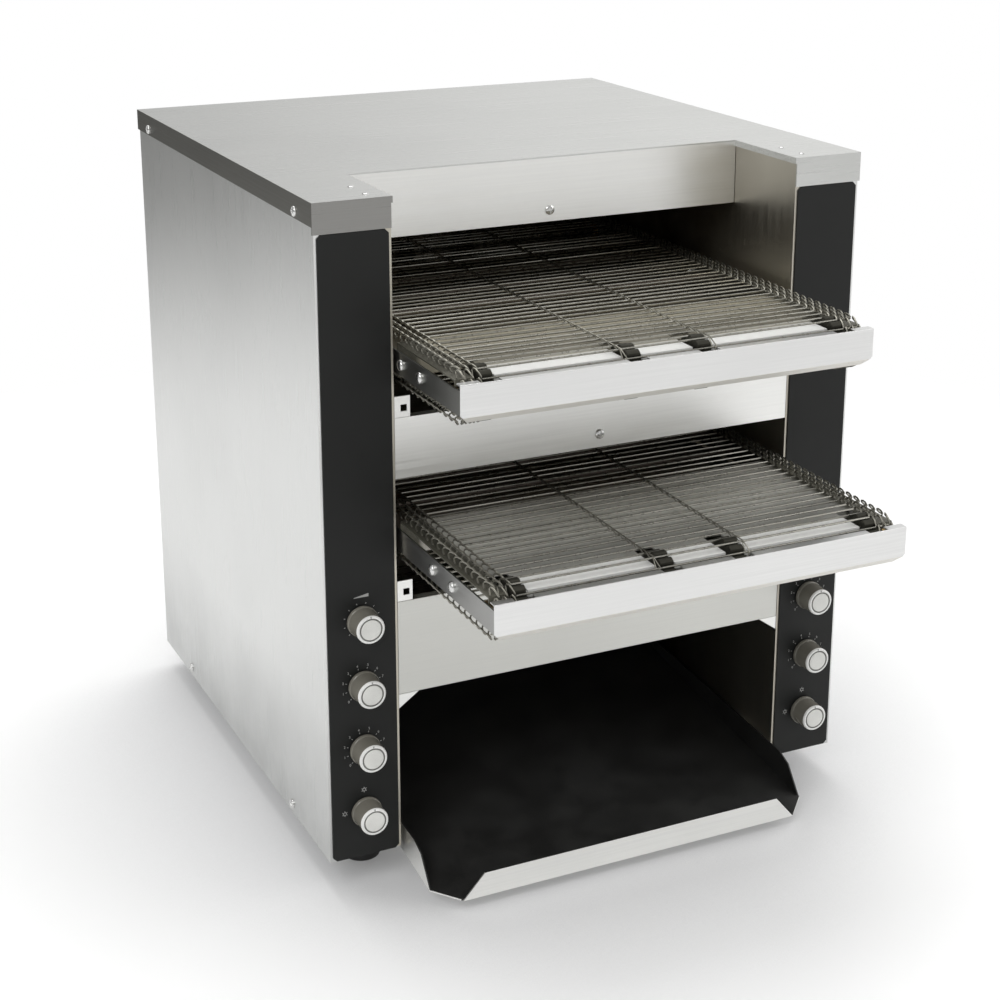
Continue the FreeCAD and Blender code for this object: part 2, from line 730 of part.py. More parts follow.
def fan():
    """The cooling fan on the rear panel: a square frame with a motor boss, and its bladed rotor."""
    inside = "rear_face - fan_depth"
    frame = box("fan_block", ("-fan_side / 2", "fan_side / 2"), (inside, "rear_face"),
                ("fan_height - fan_side / 2", "fan_height + fan_side / 2"))
    bore = bar("fan_bore_hole", "y", "fan_bore", f"{inside} - overrun", "rear_face + overrun", z="fan_height")
    motor = ("rear_face - fan_motor_depth", "rear_face")
    boss = bar("fan_boss", "y", "fan_motor", *motor, z="fan_height")
    spoke = ("-fan_spoke / 2", "fan_spoke / 2")
    middle = ("fan_height - fan_spoke / 2", "fan_height + fan_spoke / 2")
    across = box("fan_spoke_across", ("-fan_bore - fan_blade", "fan_bore + fan_blade"), motor, middle)
    upright = box("fan_spoke_upright", spoke, motor,
                  ("fan_height - fan_bore - fan_blade", "fan_height + fan_bore + fan_blade"))
    open_frame = join("fan_open_frame", [cut("fan_bored", frame, [bore]), boss, across, upright])
    pin_hole = bar("fan_pin_hole", "y", "fan_pin + running_fit", f"rear_face - fan_motor_depth - overrun",
                   "rear_face - gauge", z="fan_height")
    node("fan_frame", [cut("fan_frame_drilled", open_frame, [pin_hole] + screw_holes)])
    hub_end = "rear_face - fan_motor_depth - fan_blade_gap"
    hub = bar("fan_hub_drum", "y", "fan_hub", f"{inside} + fan_blade_gap", hub_end)
    pin = bar("fan_pin_bar", "y", "fan_pin", f"{hub_end} - overrun", "rear_face - 2 * gauge")
    blade = box("fan_blade_plate", ("-fan_blade / 2", "fan_blade / 2"),
                ("-fan_blade_width / 2", "fan_blade_width / 2"),
                ("fan_hub - fan_blade", "fan_bore - fan_blade_gap"))
    pitched = copy_at("fan_blade_pitched", [blade], axis=Z_AXIS, angle=doc.Sizes.fan_pitch,
                      y=f"({hub_end} + {inside} + fan_blade_gap) / 2")
    total = count("fan_blades")
    blades = [copy_at(f"fan_blade_{turn}", [pitched], axis=Y_AXIS, angle=360 * turn / total)
              for turn in range(total)]
    node("fan_rotor", [join("fan_wheel", [hub, pin] + blades)], z="fan_height")


# Discharge chute

def chute_floor(y):
    """The height of the chute floor's underside at a place along Y."""
    return f"chute_at_front + ({y}) * chute_rise"


def discharge_chute():
    """The sloping tray under the belts, with side walls, clipped front corners and a lip."""
    lip = "-chute_reach - chute_lip_lean"
    line = [("chute_back", chute_floor("chute_back")), ("-chute_reach", "chute_front_z"),
            (lip, "chute_lip_top")]
    floor = bent_sheet("chute_floor_sheet", "YZ", line, "-chute_half", "chute_half")
    far = "chute_half + overrun"
    ahead = f"{lip} - overrun"
    corner = [("chute_half", "-chute_corner"), ("chute_front_half", "-chute_reach"),
              ("chute_front_half", ahead), (far, ahead), (far, "-chute_corner")]
    clip = prism("chute_corner_clip", "XY", corner, "chute_front_z - overrun", "chute_lip_top + overrun")
    slant = [("chute_front_half", "chute_front_z - overrun"), ("chute_front_half", "chute_front_z"),
             ("chute_lip_half", "chute_lip_top"), ("chute_lip_half", "chute_lip_top + overrun"),
             (far, "chute_lip_top + overrun"), (far, "chute_front_z - overrun")]
    lip_clip = prism("chute_lip_clip", "XZ", slant, ahead, "-chute_reach + gauge")
    tools = [clip, mirror("chute_corner_clip_mirrored", clip)]
    lip_tools = [lip_clip, mirror("chute_lip_clip_mirrored", lip_clip)]
    tray = cut("chute_tray", cut("chute_cornered", floor, tools), lip_tools)
    edge = [("chute_back", chute_floor("chute_back")),
            ("chute_back", chute_floor("chute_back") + " + 2 * gauge"),
            ("chute_wall_break", "chute_wall_high"), ("-chute_wall_front", "chute_wall_low"),
            ("-chute_wall_nose", "chute_nose_height"), ("-chute_corner", chute_floor("-chute_corner"))]
    wall = prism("chute_wall", "YZ", edge, "chute_half - gauge", "chute_half")
    node("discharge_chute", [join("chute", [tray, wall, mirror("chute_wall_mirrored", wall)])])


# Knobs and switches

KNOBS = ("power", "lower_heat", "upper_heat", "speed")


def knobs():
    """Four knobs on each tower. Each is one turned piece with its stem and a pointer notch."""
    face = "-knob_proud"
    hollow = "-knob_gap - knob_hollow"
    inside = "knob_skirt - knob_wall"
    ring = "knob_disc + knob_groove"
    profile = [("stem_reach", "0"), ("stem_reach", "stem"), (hollow, "stem"), (hollow, inside),
               ("-knob_gap", inside), ("-knob_gap", "knob_skirt"),
               ("-knob_gap - knob_skirt_depth", "knob_skirt"), (f"{face} + knob_rim", "knob_face"),
               (face, "knob_face - knob_rim"), (face, ring), (f"{face} + groove_depth", ring),
               (f"{face} + groove_depth", "knob_disc"), (face, "knob_disc"), (face, "0")]
    turned = revolve("knob_turned", "YZ", profile, "H_Axis")
    notch = box("knob_pointer", ("-pointer_width / 2", "pointer_width / 2"),
                (f"{face} - overrun", f"{face} + pointer_depth"),
                ("knob_disc + knob_groove / 2", "knob_face + overrun"))
    knob = cut("knob", turned, [notch])
    for side, sign in (("left", "-"), ("right", "")):
        for place, use in enumerate(KNOBS):
            piece = copy_at(f"{side}_{use}_knob_placed", [knob], x=f"{sign}tower_middle",
                            z=f"knob_low + {place} * knob_step")
            node(f"{side}_{use}_knob", [piece])


def switches():
    """A switch body behind each knob, held in the panel by its threaded bush and nut."""
    side = ("-switch_side / 2", "switch_side / 2")
    body = box("switch_box", side, ("gauge", "gauge + switch_depth"), side)
    bush = bar("switch_bush_bar", "y", "switch_bush", "-switch_bush_proud", "gauge + overrun")
    nut = bar("switch_nut_disc", "y", "switch_nut", "-switch_nut_depth", "0")
    bore = bar("switch_bore", "y", "stem + running_fit", "-switch_bush_proud - overrun", "stem_reach + fit")
    switch = cut("switch", join("switch_solid", [body, bush, nut]), [bore])
    pieces = []
    for sign in ("-", ""):
        for place in range(len(KNOBS)):
            pieces.append(copy_at(f"switch_{len(pieces)}", [switch], x=f"{sign}tower_middle",
                                  z=f"knob_low + {place} * knob_step"))
    node("switches", pieces)


# Loops round two equal wheels. The first wheel is at the origin and the second lies along Y.

def links(teeth, run):
    """For each link: whole links along the run, and the angle that it has turned round a wheel."""
    turn = 360 / teeth
    side = [(step, 0) for step in range(run + 1)]
    end = [(run, turn * step) for step in range(1, teeth // 2)]
    back = [(run - step, angle + 180) for step, angle in side + end]
    return side + end + back


def loop_corners(teeth, height, length):
    """The corners of a loop whose straight runs lie at a height from the wheels' middles."""
    corners = []
    for tooth in range(teeth):
        angle = (tooth + 0.5) * 360 / teeth
        reach = f"({height}) / cos(180 / {teeth})"
        along = length if angle < 180 else "0"
        corners.append((f"{along} + {reach} * sin({angle})", f"{reach} * cos({angle})"))
    return corners


def band(name, teeth, height, half, length, start, end):
    """A flat strip bent round both wheels."""
    outer = prism(name + "_outer", "YZ", loop_corners(teeth, f"{height} + {half}", length), start, end)
    inner = prism(name + "_inner", "YZ", loop_corners(teeth, f"{height} - {half}", length),
                  f"{start} - overrun", f"{end} + overrun")
    return cut(name, outer, [inner])


def along_loop(name, piece, teeth, run, pitch):
    """The same piece at every link of a loop."""
    return [copy_at(f"{name}_{place}", [piece], y=f"{steps} * {pitch}", angle=-angle)
            for place, (steps, angle) in enumerate(links(teeth, run))]


def wire_belt():
    """The wire belt: one holed sheet, whose bars stand at the links and whose strips hold their ends."""
    teeth = count("wheel_teeth")
    sheet = band("belt_band", teeth, "wheel_flat", "wire_thickness / 2", "belt_length",
                 "-belt_half", "belt_half")
    gap = ("-(wire_pitch - wire_thickness) / 2", "(wire_pitch - wire_thickness) / 2")
    tall = ("wheel_flat - overrun", "wheel_flat + overrun")
    outside = "belt_half - edge_strip"
    near, far = "inner_strip - edge_strip / 2", "inner_strip + edge_strip / 2"
    columns = ((f"-({outside})", f"-({far})"), (f"-({near})", near), (far, outside))
    row = group("belt_row", [box(f"belt_gap_{place}", column, gap, tall)
                             for place, column in enumerate(columns)])
    gaps = along_loop("belt_row", row, teeth, count("run_links"), "wire_pitch")
    return cut("belt", sheet, gaps)


def toothed_wheel(name, teeth, tip, tall, halves, width, bore):
    """A toothed wheel turning about X, with its first tooth pointing up. Its tips stay just inside the loop."""
    root = f"{tip} - {tall}"
    flank = f"{tip} - {tall} / 2"
    body = doc.addObject("PartDesign::Body", name)
    section = [(f"-{width} / 2", bore), (f"{width} / 2", bore), (f"{width} / 2", root),
               (f"-{width} / 2", root)]
    disc = body.newObject("PartDesign::Revolution", name + "_disc")
    sketch = body_outline(body, name + "_section", "XY", section)
    disc.Profile = sketch
    disc.ReferenceAxis = (sketch, ["H_Axis"])
    disc.Angle = 360
    low, middle, top = halves
    shape = [(f"-{low}", f"{root} - {low}"), (low, f"{root} - {low}"), (middle, flank), (top, tip),
             (f"-{top}", tip), (f"-{middle}", flank)]
    tooth = body.newObject("PartDesign::Pad", name + "_tooth")
    tooth.Profile = body_outline(body, name + "_tooth_outline", "YZ", shape)
    tooth.SideType = "Symmetric"
    bind(tooth, Length=width)
    ring = body.newObject("PartDesign::PolarPattern", name + "_teeth")
    ring.Originals = [tooth]
    ring.Axis = (sketch, ["H_Axis"])
    ring.Angle = 360
    ring.Occurrences = teeth
    body.Tip = ring
    return body


def conveyor_holes(level):
    """Every hole through one conveyor's rails and the chamber walls beside it."""
    across = ("-wall_back - overrun", "wall_back + overrun")
    holes = [bar(f"{level}_bush_hole", "x", "bush + fit / 2", *across, y="belt_length")]
    for place, y in enumerate(("wall_bolt_front", "wall_bolt_rear")):
        holes.append(bar(f"{level}_wall_bolt_hole_{place}", "x", "bolt_shank + fit", *across, y=y))
    for place, (y, z) in enumerate(rod_places(level)):
        holes.append(bar(f"{level}_rod_hole_{place}", "x", "rod + fit", *across, y=y, z=z))
    return holes


def rod_places(level):
    """Where the heater rods lie, above the belt and between its runs."""
    above = [(f"rod_first + {step} * rod_step", f"{level}_rods") for step in range(count("rods_above"))]
    below = [(f"rod_first + {step + 0.5} * rod_step", "0") for step in range(count("rods_below"))]
    return above + below


def heater_rods(level, rod):
    """One conveyor's heater rods."""
    return [copy_at(f"{level}_rod_{place}", [rod], y=y, z=z)
            for place, (y, z) in enumerate(rod_places(level))]


def rails(level, holes):
    """The level side plates that carry the shafts and the guard."""
    plate = box(f"{level}_rail_plate", ("rail_inner", "rail_face"),
                ("guard_front + gauge", "belt_length + rail_tail"), ("-rail_height / 2", "rail_height / 2"))
    bolts = [bar(f"{level}_rail_bolt_hole_{place}", "x", "bolt_shank + fit", "rail_inner - overrun",
                 "rail_face + overrun", y=y) for place, y in enumerate(("front_bolt", "second_bolt"))]
    rail = cut(f"{level}_rail", plate, holes + bolts)
    return rail, mirror(f"{level}_rail_mirrored", rail)


def rail_bolt_set():
    """One conveyor's bolts: two dome heads on each rail, and two long bolts with spacers to each wall."""
    pieces = []
    for place, y in enumerate(("front_bolt", "second_bolt")):
        head = bar(f"dome_head_{place}", "x", "bolt_head", "rail_face", "rail_face + bolt_head_height", y=y)
        shank = bar(f"dome_shank_{place}", "x", "bolt_shank", "rail_inner - bolt_head_height",
                    "rail_face + bolt_head_height / 2", y=y)
        pieces.append(join(f"dome_bolt_{place}", [head, shank]))
    for place, y in enumerate(("wall_bolt_front", "wall_bolt_rear")):
        end = "wall_back + bolt_head_height"
        head = bar(f"wall_head_{place}", "x", "bolt_head", "wall_back", end, y=y)
        tip = "rail_inner - bolt_head_height - gauge"
        shank = bar(f"wall_shank_{place}", "x", "bolt_shank", tip, end, y=y)
        pieces.append(join(f"wall_bolt_{place}", [head, shank]))
        hole = bar(f"spacer_hole_{place}", "x", "bolt_shank + fit", f"{tip} - overrun",
                   f"{end} + overrun", y=y)
        spacer = bar(f"spacer_bar_{place}", "x", "bolt_head", "rail_face", "wall_face", y=y)
        nut = bar(f"nut_bar_{place}", "x", "bolt_head", "rail_inner - bolt_head_height", "rail_inner", y=y)
        pieces.append(cut(f"spacer_{place}", spacer, [hole]))
        pieces.append(cut(f"nut_{place}", nut, [hole]))
    right = group("rail_bolts_right", pieces)
    return [right, mirror("rail_bolts_left", right)]


def bush_set():
    """One conveyor's four bushes: two on the rails for the front shaft, two in the walls for the rear one."""
    bore = bar("bush_bore", "x", "shaft + running_fit", "rail_inner - bush_length - overrun",
               "wall_back + bush_flange_depth + overrun")
    front = bar("front_bush_bar", "x", "bush", "rail_inner - bush_length", "rail_inner")
    sleeve = bar("rear_bush_sleeve", "x", "bush", "rail_inner - bush_flange_depth", "wall_back + gauge")
    flange = bar("rear_bush_flange", "x", "bush_flange", "wall_back", "wall_back + bush_flange_depth")
    front_bush = cut("front_bush", front, [bore])
    bored = cut("rear_bush_bored", join("rear_bush_solid", [sleeve, flange]), [bore])
    rear_bush = copy_at("rear_bush", [bored], y="belt_length")
    right = group("bushes_right", [front_bush, rear_bush])
    return [right, mirror("bushes_left", right)]


def guard():
    """The folded sheet across a conveyor's front, notched for the wheels and clipped at its lower corners."""
    base = "guard_top - guard_face"
    line = [("guard_front + guard_lip", f"{base} - guard_lip"), ("guard_front", base),
            ("guard_front", "guard_top"), ("guard_front + guard_flange", "guard_top")]
    half = "guard_width / 2"
    sheet = bent_sheet("guard_sheet", "YZ", line, f"-{half}", half)
    low = f"{base} - guard_lip"
    corner = [(f"{half} + overrun", f"{low} + guard_corner + overrun"),
              (f"{half} + overrun", f"{low} - overrun"),
              (f"{half} - guard_corner - overrun", f"{low} - overrun")]
    clip = prism("guard_clip", "XZ", corner, "guard_front - overrun", "guard_front + guard_lip + overrun")
    deep = ("guard_front + gauge", "guard_front + guard_flange + overrun")
    tall = ("guard_top - gauge - overrun", "guard_top + overrun")
    tools = [clip, mirror("guard_clip_mirrored", clip)] + wheel_boxes("guard_notch", deep, tall)
    return cut("guard", sheet, tools)


def wheel_boxes(name, y, z):
    """A block at each of the four belt wheels, a little wider than the wheel."""
    places = ("-wheel_outer", "-wheel_inner", "wheel_inner", "wheel_outer")
    return [box(f"{name}_{number}", (f"{x} - bed_notch", f"{x} + bed_notch"), y, z)
            for number, x in enumerate(places)]


def bed(level):
    """The stepped sheet under the wires, between the rails."""
    step = f"{level}_bed_step"
    line = [("-bed_front", "bed_top - bed_lip"), ("-bed_front", "bed_top"), (step, "bed_top"),
            (step, "-bed_floor"), ("belt_length - bed_tail", "-bed_floor")]
    sheet = bent_sheet(f"{level}_bed_sheet", "YZ", line, "-rail_inner + fit", "rail_inner - fit")
    notches = wheel_boxes(f"{level}_bed_notch", ("-bed_front - overrun", "bed_notch_back"),
                          ("bed_top - bed_lip - overrun", "bed_top + overrun"))
    return cut(f"{level}_bed_cut", sheet, notches)


# Drives. They are drawn for the right-hand side and mirrored for the left.

def drive_chain():
    """The closed roller chain between the two chain wheels, hanging down from the belt's rear shaft."""
    teeth = count("chain_teeth")
    inside = "chain_inside / 2"
    plates = [band(f"chain_plates_{side}", teeth, "chain_flat", "chain_plate_half", "chain_length", *ends)
              for side, ends in (("inner", (f"-{inside} - chain_plate", f"-{inside}")),
                                 ("outer", (inside, f"{inside} + chain_plate")))]
    roller = bar("chain_roller_bar", "x", "chain_roller", f"-{inside} - chain_plate", f"{inside} + chain_plate",
                 y="chain_pitch / 2", z="chain_flat")
    rollers = along_loop("chain_roller", roller, teeth, count("chain_links"), "chain_pitch")
    flat = join("chain_along", plates + rollers)
    return copy_at("chain_right", [flat], x="chain_x", y="belt_length", angle=-90)


def gear_motor():
    """The gearbox on the chamber wall, with its motor behind it."""
    low = "-chain_length"
    case = box("gearbox", ("wall_back", "wall_back + gearbox_depth"),
               ("belt_length - gearbox_length / 2", "belt_length + gearbox_length / 2"),
               (f"{low} - gearbox_height / 2", f"{low} + gearbox_height / 2"))
    start = "belt_length + gearbox_length / 2"
    can = bar("motor_can", "y", "motor", f"{start} - gauge", f"{start} + motor_length",
              x="wall_back + motor + fit", z=low)
    bore = bar("gearbox_bore", "x", "motor_shaft + running_fit", "wall_back + gauge + fit",
               "wall_back + gearbox_depth + overrun", y="belt_length", z=low)
    return cut("gear_motor", join("gear_motor_solid", [case, can]), [bore])


def chain_wheels():
    """The two equal chain wheels: one bored for the belt's rear shaft, one with the motor's own shaft."""
    sizes = (count("chain_teeth"), "sprocket_tip", "sprocket_tooth_height",
             ("sprocket_half_root", "sprocket_half_pitch", "sprocket_half_tip"), "sprocket_plate")
    hub_end = "-sprocket_plate / 2 - sprocket_hub_depth"
    bored = toothed_wheel("shaft_wheel", *sizes, "(shaft + running_fit)")
    hub = bar("shaft_wheel_hub", "x", "sprocket_hub", hub_end, "-sprocket_plate / 2 + gauge")
    hole = bar("shaft_wheel_hole", "x", "shaft + running_fit", f"{hub_end} - overrun", "overrun")
    drum = cut("shaft_wheel_drum", hub, [hole])
    shaft_wheel = copy_at("shaft_wheel_right", [join("shaft_wheel_solid", [bored, drum])],
                          x="chain_x", y="belt_length")
    solid = toothed_wheel("motor_wheel", *sizes, "motor_shaft / 2")
    stub = bar("motor_stub", "x", "motor_shaft", "wall_back - chain_x + 2 * gauge", "sprocket_plate")
    boss = bar("motor_wheel_hub", "x", "sprocket_hub", hub_end, "-sprocket_plate / 2 + gauge")
    motor_wheel = copy_at("motor_wheel_right", [join("motor_wheel_solid", [solid, boss, stub])],
                          x="chain_x", y="belt_length", z="-chain_length")
    return shaft_wheel, motor_wheel


def conveyors():
    """Both conveyors. Each is drawn with its front shaft on the origin and then moved to its height."""
    belt = wire_belt()
    apron = guard()
    wheel = toothed_wheel("belt_wheel", count("wheel_teeth"), "wheel_tip", "tooth_height",
                          ("tooth_half_root", "tooth_half_pitch", "tooth_half_tip"), "wheel_width",
                          "(shaft + running_fit)")
    wheels = [copy_at(f"belt_wheel_{number}", [wheel], x=x) for number, x in
              enumerate(("-wheel_outer", "-wheel_inner", "wheel_inner", "wheel_outer"))]
    rear_wheels = copy_at("belt_wheels_rear", wheels, y="belt_length")
    front_shaft = bar("front_shaft_bar", "x", "shaft", "-rail_inner + fit", "rail_inner - fit")
    rear_shaft = bar("drive_shaft_bar", "x", "shaft", "-wall_back - bush_flange_depth - shaft_spare",
                     "chain_x + sprocket_plate / 2 + shaft_spare", y="belt_length")
    shaft_wheel, motor_wheel = chain_wheels()
    driven = {"right": (rear_shaft, shaft_wheel, motor_wheel, drive_chain(), gear_motor())}
    driven["left"] = [mirror(f"drive_{number}_left", piece) for number, piece in enumerate(driven["right"])]
    rod = join("rod_with_pins", [
        bar("rod_bar", "x", "rod", "-wall_back - rod_ends", "wall_back + rod_ends"),
        bar("rod_pin_bar", "x", "rod_pin", "-wall_back - rod_ends - rod_pin_length",
            "wall_back + rod_ends + rod_pin_length")])
    bolts = rail_bolt_set()
    bushes = bush_set()
    wall_holes = []
    all_bolts = []
    all_bushes = []
    for level, side in (("upper", "left"), ("lower", "right")):
        place = {"y": f"{level}_front", "z": f"{level}_axis"}
        shaft, shaft_sprocket, motor_sprocket, chain, motor = driven[side]
        holes = conveyor_holes(level)
        right_rail, left_rail = rails(level, holes)
        wall_holes.append(copy_at(f"{level}_wall_holes", holes, **place))
        all_bolts.append(copy_at(f"{level}_bolts", bolts, **place))
        all_bushes.append(copy_at(f"{level}_bushes", bushes, **place))
        node(f"{level}_left_rail", [left_rail], **place)
        node(f"{level}_right_rail", [right_rail], **place)
        node(f"{level}_guard", [apron], **place)
        node(f"{level}_bed", [bed(level)], **place)
        node(f"{level}_belt", [belt], **place)
        node(f"{level}_elements", heater_rods(level, rod), **place)
        node(f"{level}_front_shaft", [front_shaft], **place)
        node(f"{level}_front_sprockets", wheels, **place)
        node(f"{level}_drive_shaft", [shaft], **place)
        node(f"{level}_drive_sprockets", [rear_wheels, shaft_sprocket], **place)
        node(f"{level}_chain", [chain], **place)
        node(f"{level}_gear_motor", [motor], **place)
        node(f"{level}_motor_wheel", [motor_sprocket], **place)
    node("rail_bolts", all_bolts)
    node("shaft_bushes", all_bushes)
    return wall_holes


def check():
    """Stop if anything in the drawing failed or any finished piece has no sound solid."""
    failed = [thing.Name for thing in doc.Objects if "Invalid" in thing.State or "Error" in thing.State]
    bad = [part.Label for part in nodes if part.Shape.isNull() or not part.Shape.isValid()
           or not part.Shape.Solids]
    if failed or bad:
        raise RuntimeError(f"failed: {failed}; unsound: {bad}")


fill_sheet("Sizes", SIZES)
fill_sheet("Worked", WORKED)
case_screws(*screw_parts())
top_cover()
side_panels()
base_pan()
feet()
rear_panel()
chamber_walls(conveyors())
control_panels()
fascias()
reflectors()
rear_slide()
power_gland()
terminal_block()
fan()
discharge_chute()
knobs()
switches()
doc.recompute()
check()

os.makedirs("parts", exist_ok=True)
for part in nodes:
    part.Shape.exportStep(f"parts/{part.Label}.step")
    print(part.Label, len(part.Shape.Solids), round(part.Shape.Volume), part.Shape.BoundBox)
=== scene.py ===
# %% [markdown]
# # A counter-top conveyor toaster
# Two wire belts carry bread under glowing rods and drop it onto a black chute. The case is folded
# from brushed stainless sheet, so most of this lesson is about bent sheet, bright wire and how
# a brushed surface catches light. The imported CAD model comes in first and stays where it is: every
# piece made here is fitted to it, and the CAD's own parts get a better finish.

# %% Load the frame
import math
import bmesh
import bpy
import numpy as np
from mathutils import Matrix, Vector


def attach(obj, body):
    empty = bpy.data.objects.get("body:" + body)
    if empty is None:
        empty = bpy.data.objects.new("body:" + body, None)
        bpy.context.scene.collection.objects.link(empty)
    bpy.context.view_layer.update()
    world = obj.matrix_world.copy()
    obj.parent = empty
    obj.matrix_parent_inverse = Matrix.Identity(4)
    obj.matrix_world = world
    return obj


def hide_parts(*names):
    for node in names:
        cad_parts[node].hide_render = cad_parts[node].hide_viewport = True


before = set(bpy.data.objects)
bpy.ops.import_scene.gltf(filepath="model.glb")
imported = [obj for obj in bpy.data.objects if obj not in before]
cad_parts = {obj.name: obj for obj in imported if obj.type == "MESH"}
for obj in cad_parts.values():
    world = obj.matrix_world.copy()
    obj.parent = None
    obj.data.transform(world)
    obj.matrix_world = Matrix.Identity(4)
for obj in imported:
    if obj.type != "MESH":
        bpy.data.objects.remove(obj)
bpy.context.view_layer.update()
print("nodes in the frame:", len(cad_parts))

# %% [markdown]
# The drawing was made in millimetres, with y = 0 at the case's front and z = 0 at the foot of its
# panels. A few of its sizes are repeated here, because everything below is placed by them. `spot`
# turns such a place into the frame's metres. Whole arrays of places go through it at once.

# %% The drawing's sizes
FRONT, FOOT = -153.25, 26.0
WIDTH, DEPTH, HEIGHT = 470.0, 462.0, 528.0
GAUGE = 1.2
TOWER = 203.9
KNOB_HEIGHTS = {"power": 40.0, "lower_heat": 94.0, "upper_heat": 148.0, "speed": 202.0}
LEVELS = {"upper": (-90.981, 402.4), "lower": (-145.481, 261.0)}
PITCH, RUN, TEETH = 10.0, 42, 12
WHEEL = PITCH / 2 / math.sin(math.pi / TEETH)
RAIL = 171.0


def spot(x, y, z):
    """A place in the drawing, in the frame's metres. Each number may be an array."""
    x, y, z = np.broadcast_arrays(np.asarray(x, float), y, z)
    return np.stack([x, y + FRONT, z + FOOT], axis=-1) * 0.001


print("the case's upper front edge lies at", spot(0, 0, HEIGHT).round(4))

# %% [markdown]
# The photograph is taken from the front left and a little above, and its upright edges stay nearly
# upright. A lens that looks down would make them lean, so a photographer keeps it level and shifts
# it. Here the lens looks down a little and is shifted by a part of the frame, which comes close and
# still lets the other views hold the whole toaster.

# %% Camera
lens = bpy.data.cameras.new("camera")
lens.lens, lens.sensor_width = 69.5, 36.0
lens.shift_y = -0.135
camera = bpy.data.objects.new("camera", lens)
bpy.context.scene.collection.objects.link(camera)
camera.location = (-0.6888, -1.4200, 0.8343)
yaw, pitch = math.radians(25.40), math.radians(16.61)
gaze = Vector((math.sin(yaw) * math.cos(pitch), math.cos(yaw) * math.cos(pitch), -math.sin(pitch)))
camera.rotation_euler = gaze.to_track_quat("-Z", "Y").to_euler()
bpy.context.scene.camera = camera
print("camera stands", round(camera.location.length, 3), "m from the origin")

# %% [markdown]
# Every finish is a small network of nodes around one shader. These helpers keep the networks short.
# `noise` is a cloud pattern read from the object's own coordinates, and its scale can differ along
# X, Y and Z: a pattern with few waves along one axis and many across it is what a brush leaves on
# steel. `between` stretches part of a pattern's range onto two numbers, `tint` onto two colours, and
# `relief` lets a pattern push the surface's light about without moving the surface.

# %% Helpers for finishes
FINISHES = {}


def finish(name, colour, metallic=0.0, rough=0.5, **more):
    """A new material with one shader, whose plain values are set on its own sockets."""
    material = bpy.data.materials.new(name)
    material.use_nodes = True
    shader = material.node_tree.nodes["Principled BSDF"]
    values = {"Base Color": (*colour, 1), "Metallic": metallic, "Roughness": rough, **more}
    for socket, value in values.items():
        shader.inputs[socket].default_value = value
    FINISHES[name] = material
    return material, material.node_tree, shader


def noise(tree, scale, detail=3.0, rough=0.5, turn=(0, 0, 0)):
    """A cloud pattern with its own number of waves in a metre along each axis."""
    place = tree.nodes.new("ShaderNodeTexCoord")
    stretch = tree.nodes.new("ShaderNodeMapping")
    stretch.inputs["Scale"].default_value = scale if hasattr(scale, "__len__") else (scale,) * 3
    stretch.inputs["Rotation"].default_value = turn
    cloud = tree.nodes.new("ShaderNodeTexNoise")
    cloud.inputs["Scale"].default_value = 1.0
    cloud.inputs["Detail"].default_value = detail
    cloud.inputs["Roughness"].default_value = rough
    tree.links.new(place.outputs["Object"], stretch.inputs["Vector"])
    tree.links.new(stretch.outputs["Vector"], cloud.inputs["Vector"])
    return cloud.outputs["Fac"]


def along(tree, axis, start, end):
    """A ramp from 0 to 1 between two places along an axis of the object, in metres."""
    place = tree.nodes.new("ShaderNodeTexCoord")
    split = tree.nodes.new("ShaderNodeSeparateXYZ")
    tree.links.new(place.outputs["Object"], split.inputs["Vector"])
    return between(tree, split.outputs[axis], 0.0, 1.0, start, end)


def between(tree, value, low, high, start=0.35, end=0.65):
    """The part of a pattern from start to end, spread from low to high."""
    spread = tree.nodes.new("ShaderNodeMapRange")
    for socket, number in (("From Min", start), ("From Max", end), ("To Min", low), ("To Max", high)):
        spread.inputs[socket].default_value = number
    tree.links.new(value, spread.inputs["Value"])
    return spread.outputs["Result"]


def times(tree, first, second, operation="MULTIPLY"):
    """Two patterns put together by one sum."""
    sums = tree.nodes.new("ShaderNodeMath")
    sums.operation = operation
    sums.use_clamp = True
    for socket, value in zip(sums.inputs, (first, second)):
        if isinstance(value, float):
            socket.default_value = value
        else:
            tree.links.new(value, socket)
    return sums.outputs["Value"]


def tint(tree, value, first, second):
    """One colour where the pattern is 0 and the other where it is 1. Either may come from a node."""
    mix = tree.nodes.new("ShaderNodeMix")
    mix.data_type = "RGBA"
    tree.links.new(value, mix.inputs["Factor"])
    for socket, colour in (("A", first), ("B", second)):
        put = [s for s in mix.inputs if s.name == socket and s.type == "RGBA"][0]
        if isinstance(colour, tuple):
            put.default_value = (*colour, 1)
        else:
            tree.links.new(colour, put)
    return [s for s in mix.outputs if s.type == "RGBA"][0]


def relief(tree, shader, value, strength, height):
    """Let a pattern stand up by a height in metres, as the light sees it."""
    bump = tree.nodes.new("ShaderNodeBump")
    bump.inputs["Strength"].default_value = strength
    bump.inputs["Distance"].default_value = height
    tree.links.new(value, bump.inputs["Height"])
    tree.links.new(bump.outputs["Normal"], shader.inputs["Normal"])


def shade(colour, share):
    """The same colour, lighter or darker."""
    return tuple(min(1.0, part * share) for part in colour)


print("helpers ready")

# %% [markdown]
# Brushed stainless steel is a mirror with thousands of fine scratches that all run one way. The
# scratches smear what the metal reflects, so the sheet looks soft along the brushing and streaky
# across it. One function makes every steel on the toaster: fine streaks drive the roughness and
# a very low relief, and broad clouds make the sheet slightly uneven, as handled metal is.

